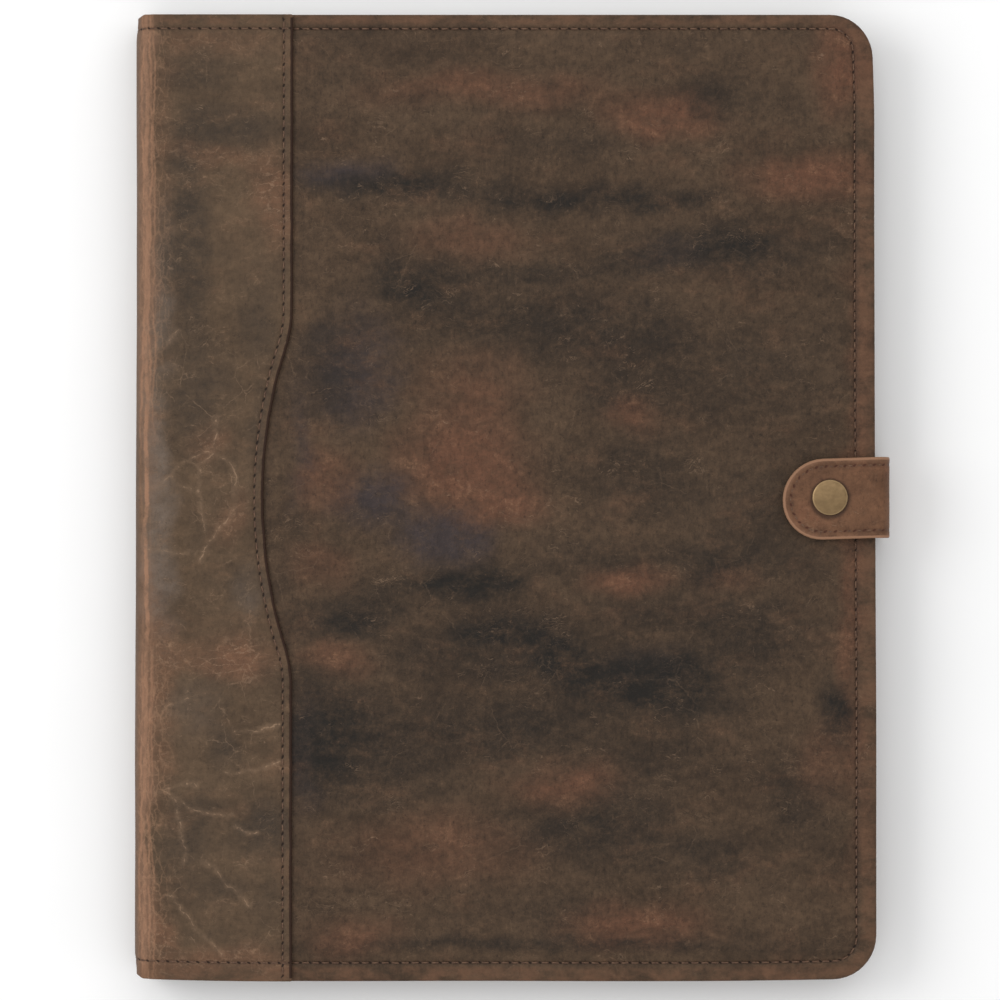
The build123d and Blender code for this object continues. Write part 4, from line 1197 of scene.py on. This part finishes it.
def make_lining(name, z, turn, nodes):
    """Lining cloth over half the spine, its fold and the inside of one cover, at height z."""
    inner = LINING_FOLD - LINING
    rise = abs(z - SPINE_MID) - inner
    flat = rise + math.pi / 2 * inner
    reach = flat + RIGHT - FOLD_X
    roll = Roll(spine_lining_high.x, SPINE_MID, -90 * turn, rise, inner, turn, reach, turn)
    seam = Seam(u_seam(1.0, reach - SEAM_FORE, HALF - SEAM_HEAD, HALF - SEAM_FOOT, SEAM_CORNER))
    edge = [(6.0, -LINING, 0), (1.2, -LINING, 0), (1.05, -0.5 * LINING, 0), (1.1, -0.12, 0), (1.4, 0.0, 0.5),
            (2.2, 0.0, 1)]

    def relief(u, v, offs):
        return 0.05 * ripple(u, v, 0.03, 21.0) - 0.05 - groove(offs[0], 0.16)

    stations = up_and_round(rise, flat, 1.3, 0.3) + spread(flat + 2.0, reach - CORNER, 4.0)
    lining = sheet_mesh(name, roll, stations, HALF, CORNER, rings_of(edge, 1.0, LINING_TOP), 80,
                        relief=relief, seams=[[seam]], shape=settled)
    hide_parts(*nodes)
    wear_material(lining, lining_cloth)
    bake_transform(lining)
    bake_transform(sew(name + "_stitches", roll, [seam], -0.22, width=0.34, height=0.26, shape=settled))


def make_linings():
    """The lining of each cover, with half the spine's."""
    make_lining("front_lining_cloth", lining_low.z, -1, ("front_lining", "lining_fold_front", "spine_lining"))
    make_lining("back_lining_cloth", back_lining_high.z, 1, ("back_lining", "lining_fold_back"))


# ---------------------------------------------------------------- the tab

# Two layers of leather with a burnished edge, as (inset, lift in shares of their thickness), then the
# upper layer's rounding as (inset, lift) and the insets on top
STRAP_EDGE = ((TAB_HALF, -1.0), (9.0, -1.0), (4.0, -1.0), (1.0, -1.0), (0.35, -0.97), (0.08, -0.85),
              (0.0, -0.62), (0.07, -0.52), (0.0, -0.42), (0.03, -0.24))
STRAP_ROUND = ((0.2, -0.12), (0.5, -0.02), (0.9, 0.0))
STRAP_TOP = (1.5, 2.0, 2.4, 2.8, 3.2, 3.6, 4.2, 5.0, 6.0, 7.5, 9.0, 10.5, 12.0, TAB_HALF)


def strap_rings():
    """Rings of the strap, of which only the upper layer's follow its relief."""
    edge = [(inset, lift * TAB_THICK) for inset, lift in STRAP_EDGE] + list(STRAP_ROUND)
    return rings_of([(inset, lift, 0 if lift < -0.3 else 1) for inset, lift in edge], 1.0, STRAP_TOP)


def tab_relief(u, v, offs):
    return 0.06 * ripple(u, v, 0.12, 31.0) - groove(offs[0], 0.14, 0.5)


def drooped(point):
    """A point of the tab moved as the real tab hangs a little askew of the cover."""
    if point.z <= TAB_MID:
        return point
    return point + Vector((0, -TAB_DROOP * max(root_high.x - point.x, 0.0), 0))


def make_tab():
    """The tab from the middle of its riser over the fold to its tip, and back down to its root."""
    arc = math.pi / 2 * TAB_FOLD
    row = TAB_HALF - TAB_SEAM
    flat = riser_high.z - TAB_MID + arc
    reach = flat + root_high.x - tongue_low.x
    rise = flat - arc
    roll = Roll(riser_high.x, TAB_MID, 90, rise, TAB_FOLD, 1, reach, -1)
    seam = Seam(u_seam(0, reach - TAB_SEAM, row, row, row), TAB_PITCH)
    stations = up_and_round(rise, flat, 1.2, 0.5) + spread(flat + 0.8, reach - TAB_HALF, 1.0)
    tongue = sheet_mesh("tab_strap", roll, stations, TAB_HALF, TAB_HALF, strap_rings(), 1, relief=tab_relief,
                        seams=[[seam]], rest=lambda u, v: (u + TAB_REST, v), shape=drooped)
    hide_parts("tab_tongue_leather", "tab_tongue_lining", "tab_bend_upper", "tab_riser_leather",
                "tab_riser_lining")
    wear_material(tongue, tab_leather)
    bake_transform(tongue)
    stitches = sew("tab_stitches", roll, [seam], -0.3, length=2.1, width=0.22, height=0.2, shape=drooped)
    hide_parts("tab_tongue_thread", "tab_riser_thread")
    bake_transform(stitches)

    drop = TAB_MID - riser_low.z
    flat = drop + arc
    reach = flat + root_high.x - root_low.x
    roll = Roll(riser_high.x, TAB_MID, -90, drop, TAB_FOLD, -1, reach, 1)
    seams = [Seam([(0, -row), (flat, -row)], TAB_PITCH), Seam([(flat, row), (0, row)], TAB_PITCH)]
    stations = up_and_round(drop, flat, 1.2, 0.5) + spread(flat + 1, reach - 0.5, 3.0)
    root = sheet_mesh("tab_strap_root", roll, stations, TAB_HALF, 0.5, strap_rings()[1:-1], 12,
                      relief=tab_relief, seams=[seams], rest=lambda u, v: (TAB_REST - u, v), backed=True)
    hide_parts("tab_root_leather", "tab_root_lining", "tab_bend_lower")
    wear_material(root, tab_leather)
    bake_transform(root)
    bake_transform(sew("tab_root_stitches", roll, seams, -0.28, length=2.1, width=0.26, height=0.22))


def lathe(name, profile, centre, steps=96):
    """A turned part from (radius, height) pairs, its axis upright through centre."""
    bm = bmesh.new()
    rings = []
    for radius, height in profile:
        ring = []
        for k in range(steps):
            angle = 2 * math.pi * k / steps
            spot = centre + Vector((radius * math.cos(angle), radius * math.sin(angle), height))
            ring.append(bm.verts.new(spot * MM))
        rings.append(ring)
    bridge(bm, rings)
    bmesh.ops.remove_doubles(bm, verts=bm.verts, dist=WELD)
    bmesh.ops.recalc_face_normals(bm, faces=bm.faces)
    return finish_mesh(name, bm)


def make_cap():
    """Domed snap cap with a rolled rim, on its short shank."""
    top = cap_high.z - tongue_high.z
    shank, shank_foot, underside = 1.2, -1.2, -0.1
    dome, dome_foot = CAP_RADIUS - 0.35, 0.66
    profile = [(0.0, shank_foot), (shank, shank_foot), (shank, underside), (CAP_RADIUS - 0.5, underside),
               (CAP_RADIUS - 0.12, 0.05), (CAP_RADIUS, 0.3), (CAP_RADIUS - 0.08, 0.52), (dome, dome_foot)]
    for i in range(1, 13):
        rise = math.sin(i / 12 * math.pi / 2) ** 0.9
        profile.append((dome * (1 - i / 12), dome_foot + (top - dome_foot) * rise))
    cap = lathe("snap_cap_dome", profile, Vector((CAP.x, CAP.y, tongue_high.z)))
    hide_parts("snap_cap")
    wear_material(cap, brass)
    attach(cap, "tab_tongue")


# ---------------------------------------------------------------- carried-over CAD nodes


def dress_nodes():
    """Finishes the pockets, pen loop, pad, boards and snap parts."""
    dress(["pad_pocket", "document_pocket", "card_slot_upper", "card_slot_middle", "card_slot_lower"],
          inner_leather, 0.22)
    dress(["pad_pocket_welts", "document_pocket_welts", "card_slot_welts"], pocket_edge)
    dress(["pen_loop"], inner_leather, 0.3)
    dress(["snap_socket", "snap_stud", "snap_post"], brass, 0.12)
    dress(["snap_spring"], steel)
    dress(["pad_card"], grey_board, 0.15)
    dress(["pad_paper"], paper)
    dress(["pad_binding"], tape_cloth, 0.08)
    dress(["back_board", "front_board", "spine_board"], cover_board, 0.2)
    dress(["pad_pocket_thread", "document_pocket_thread"], thread, 0.1)


make_camera()
make_studio()
make_front_panel()
make_flap()
make_back()
make_linings()
make_tab()
make_cap()
dress_nodes()
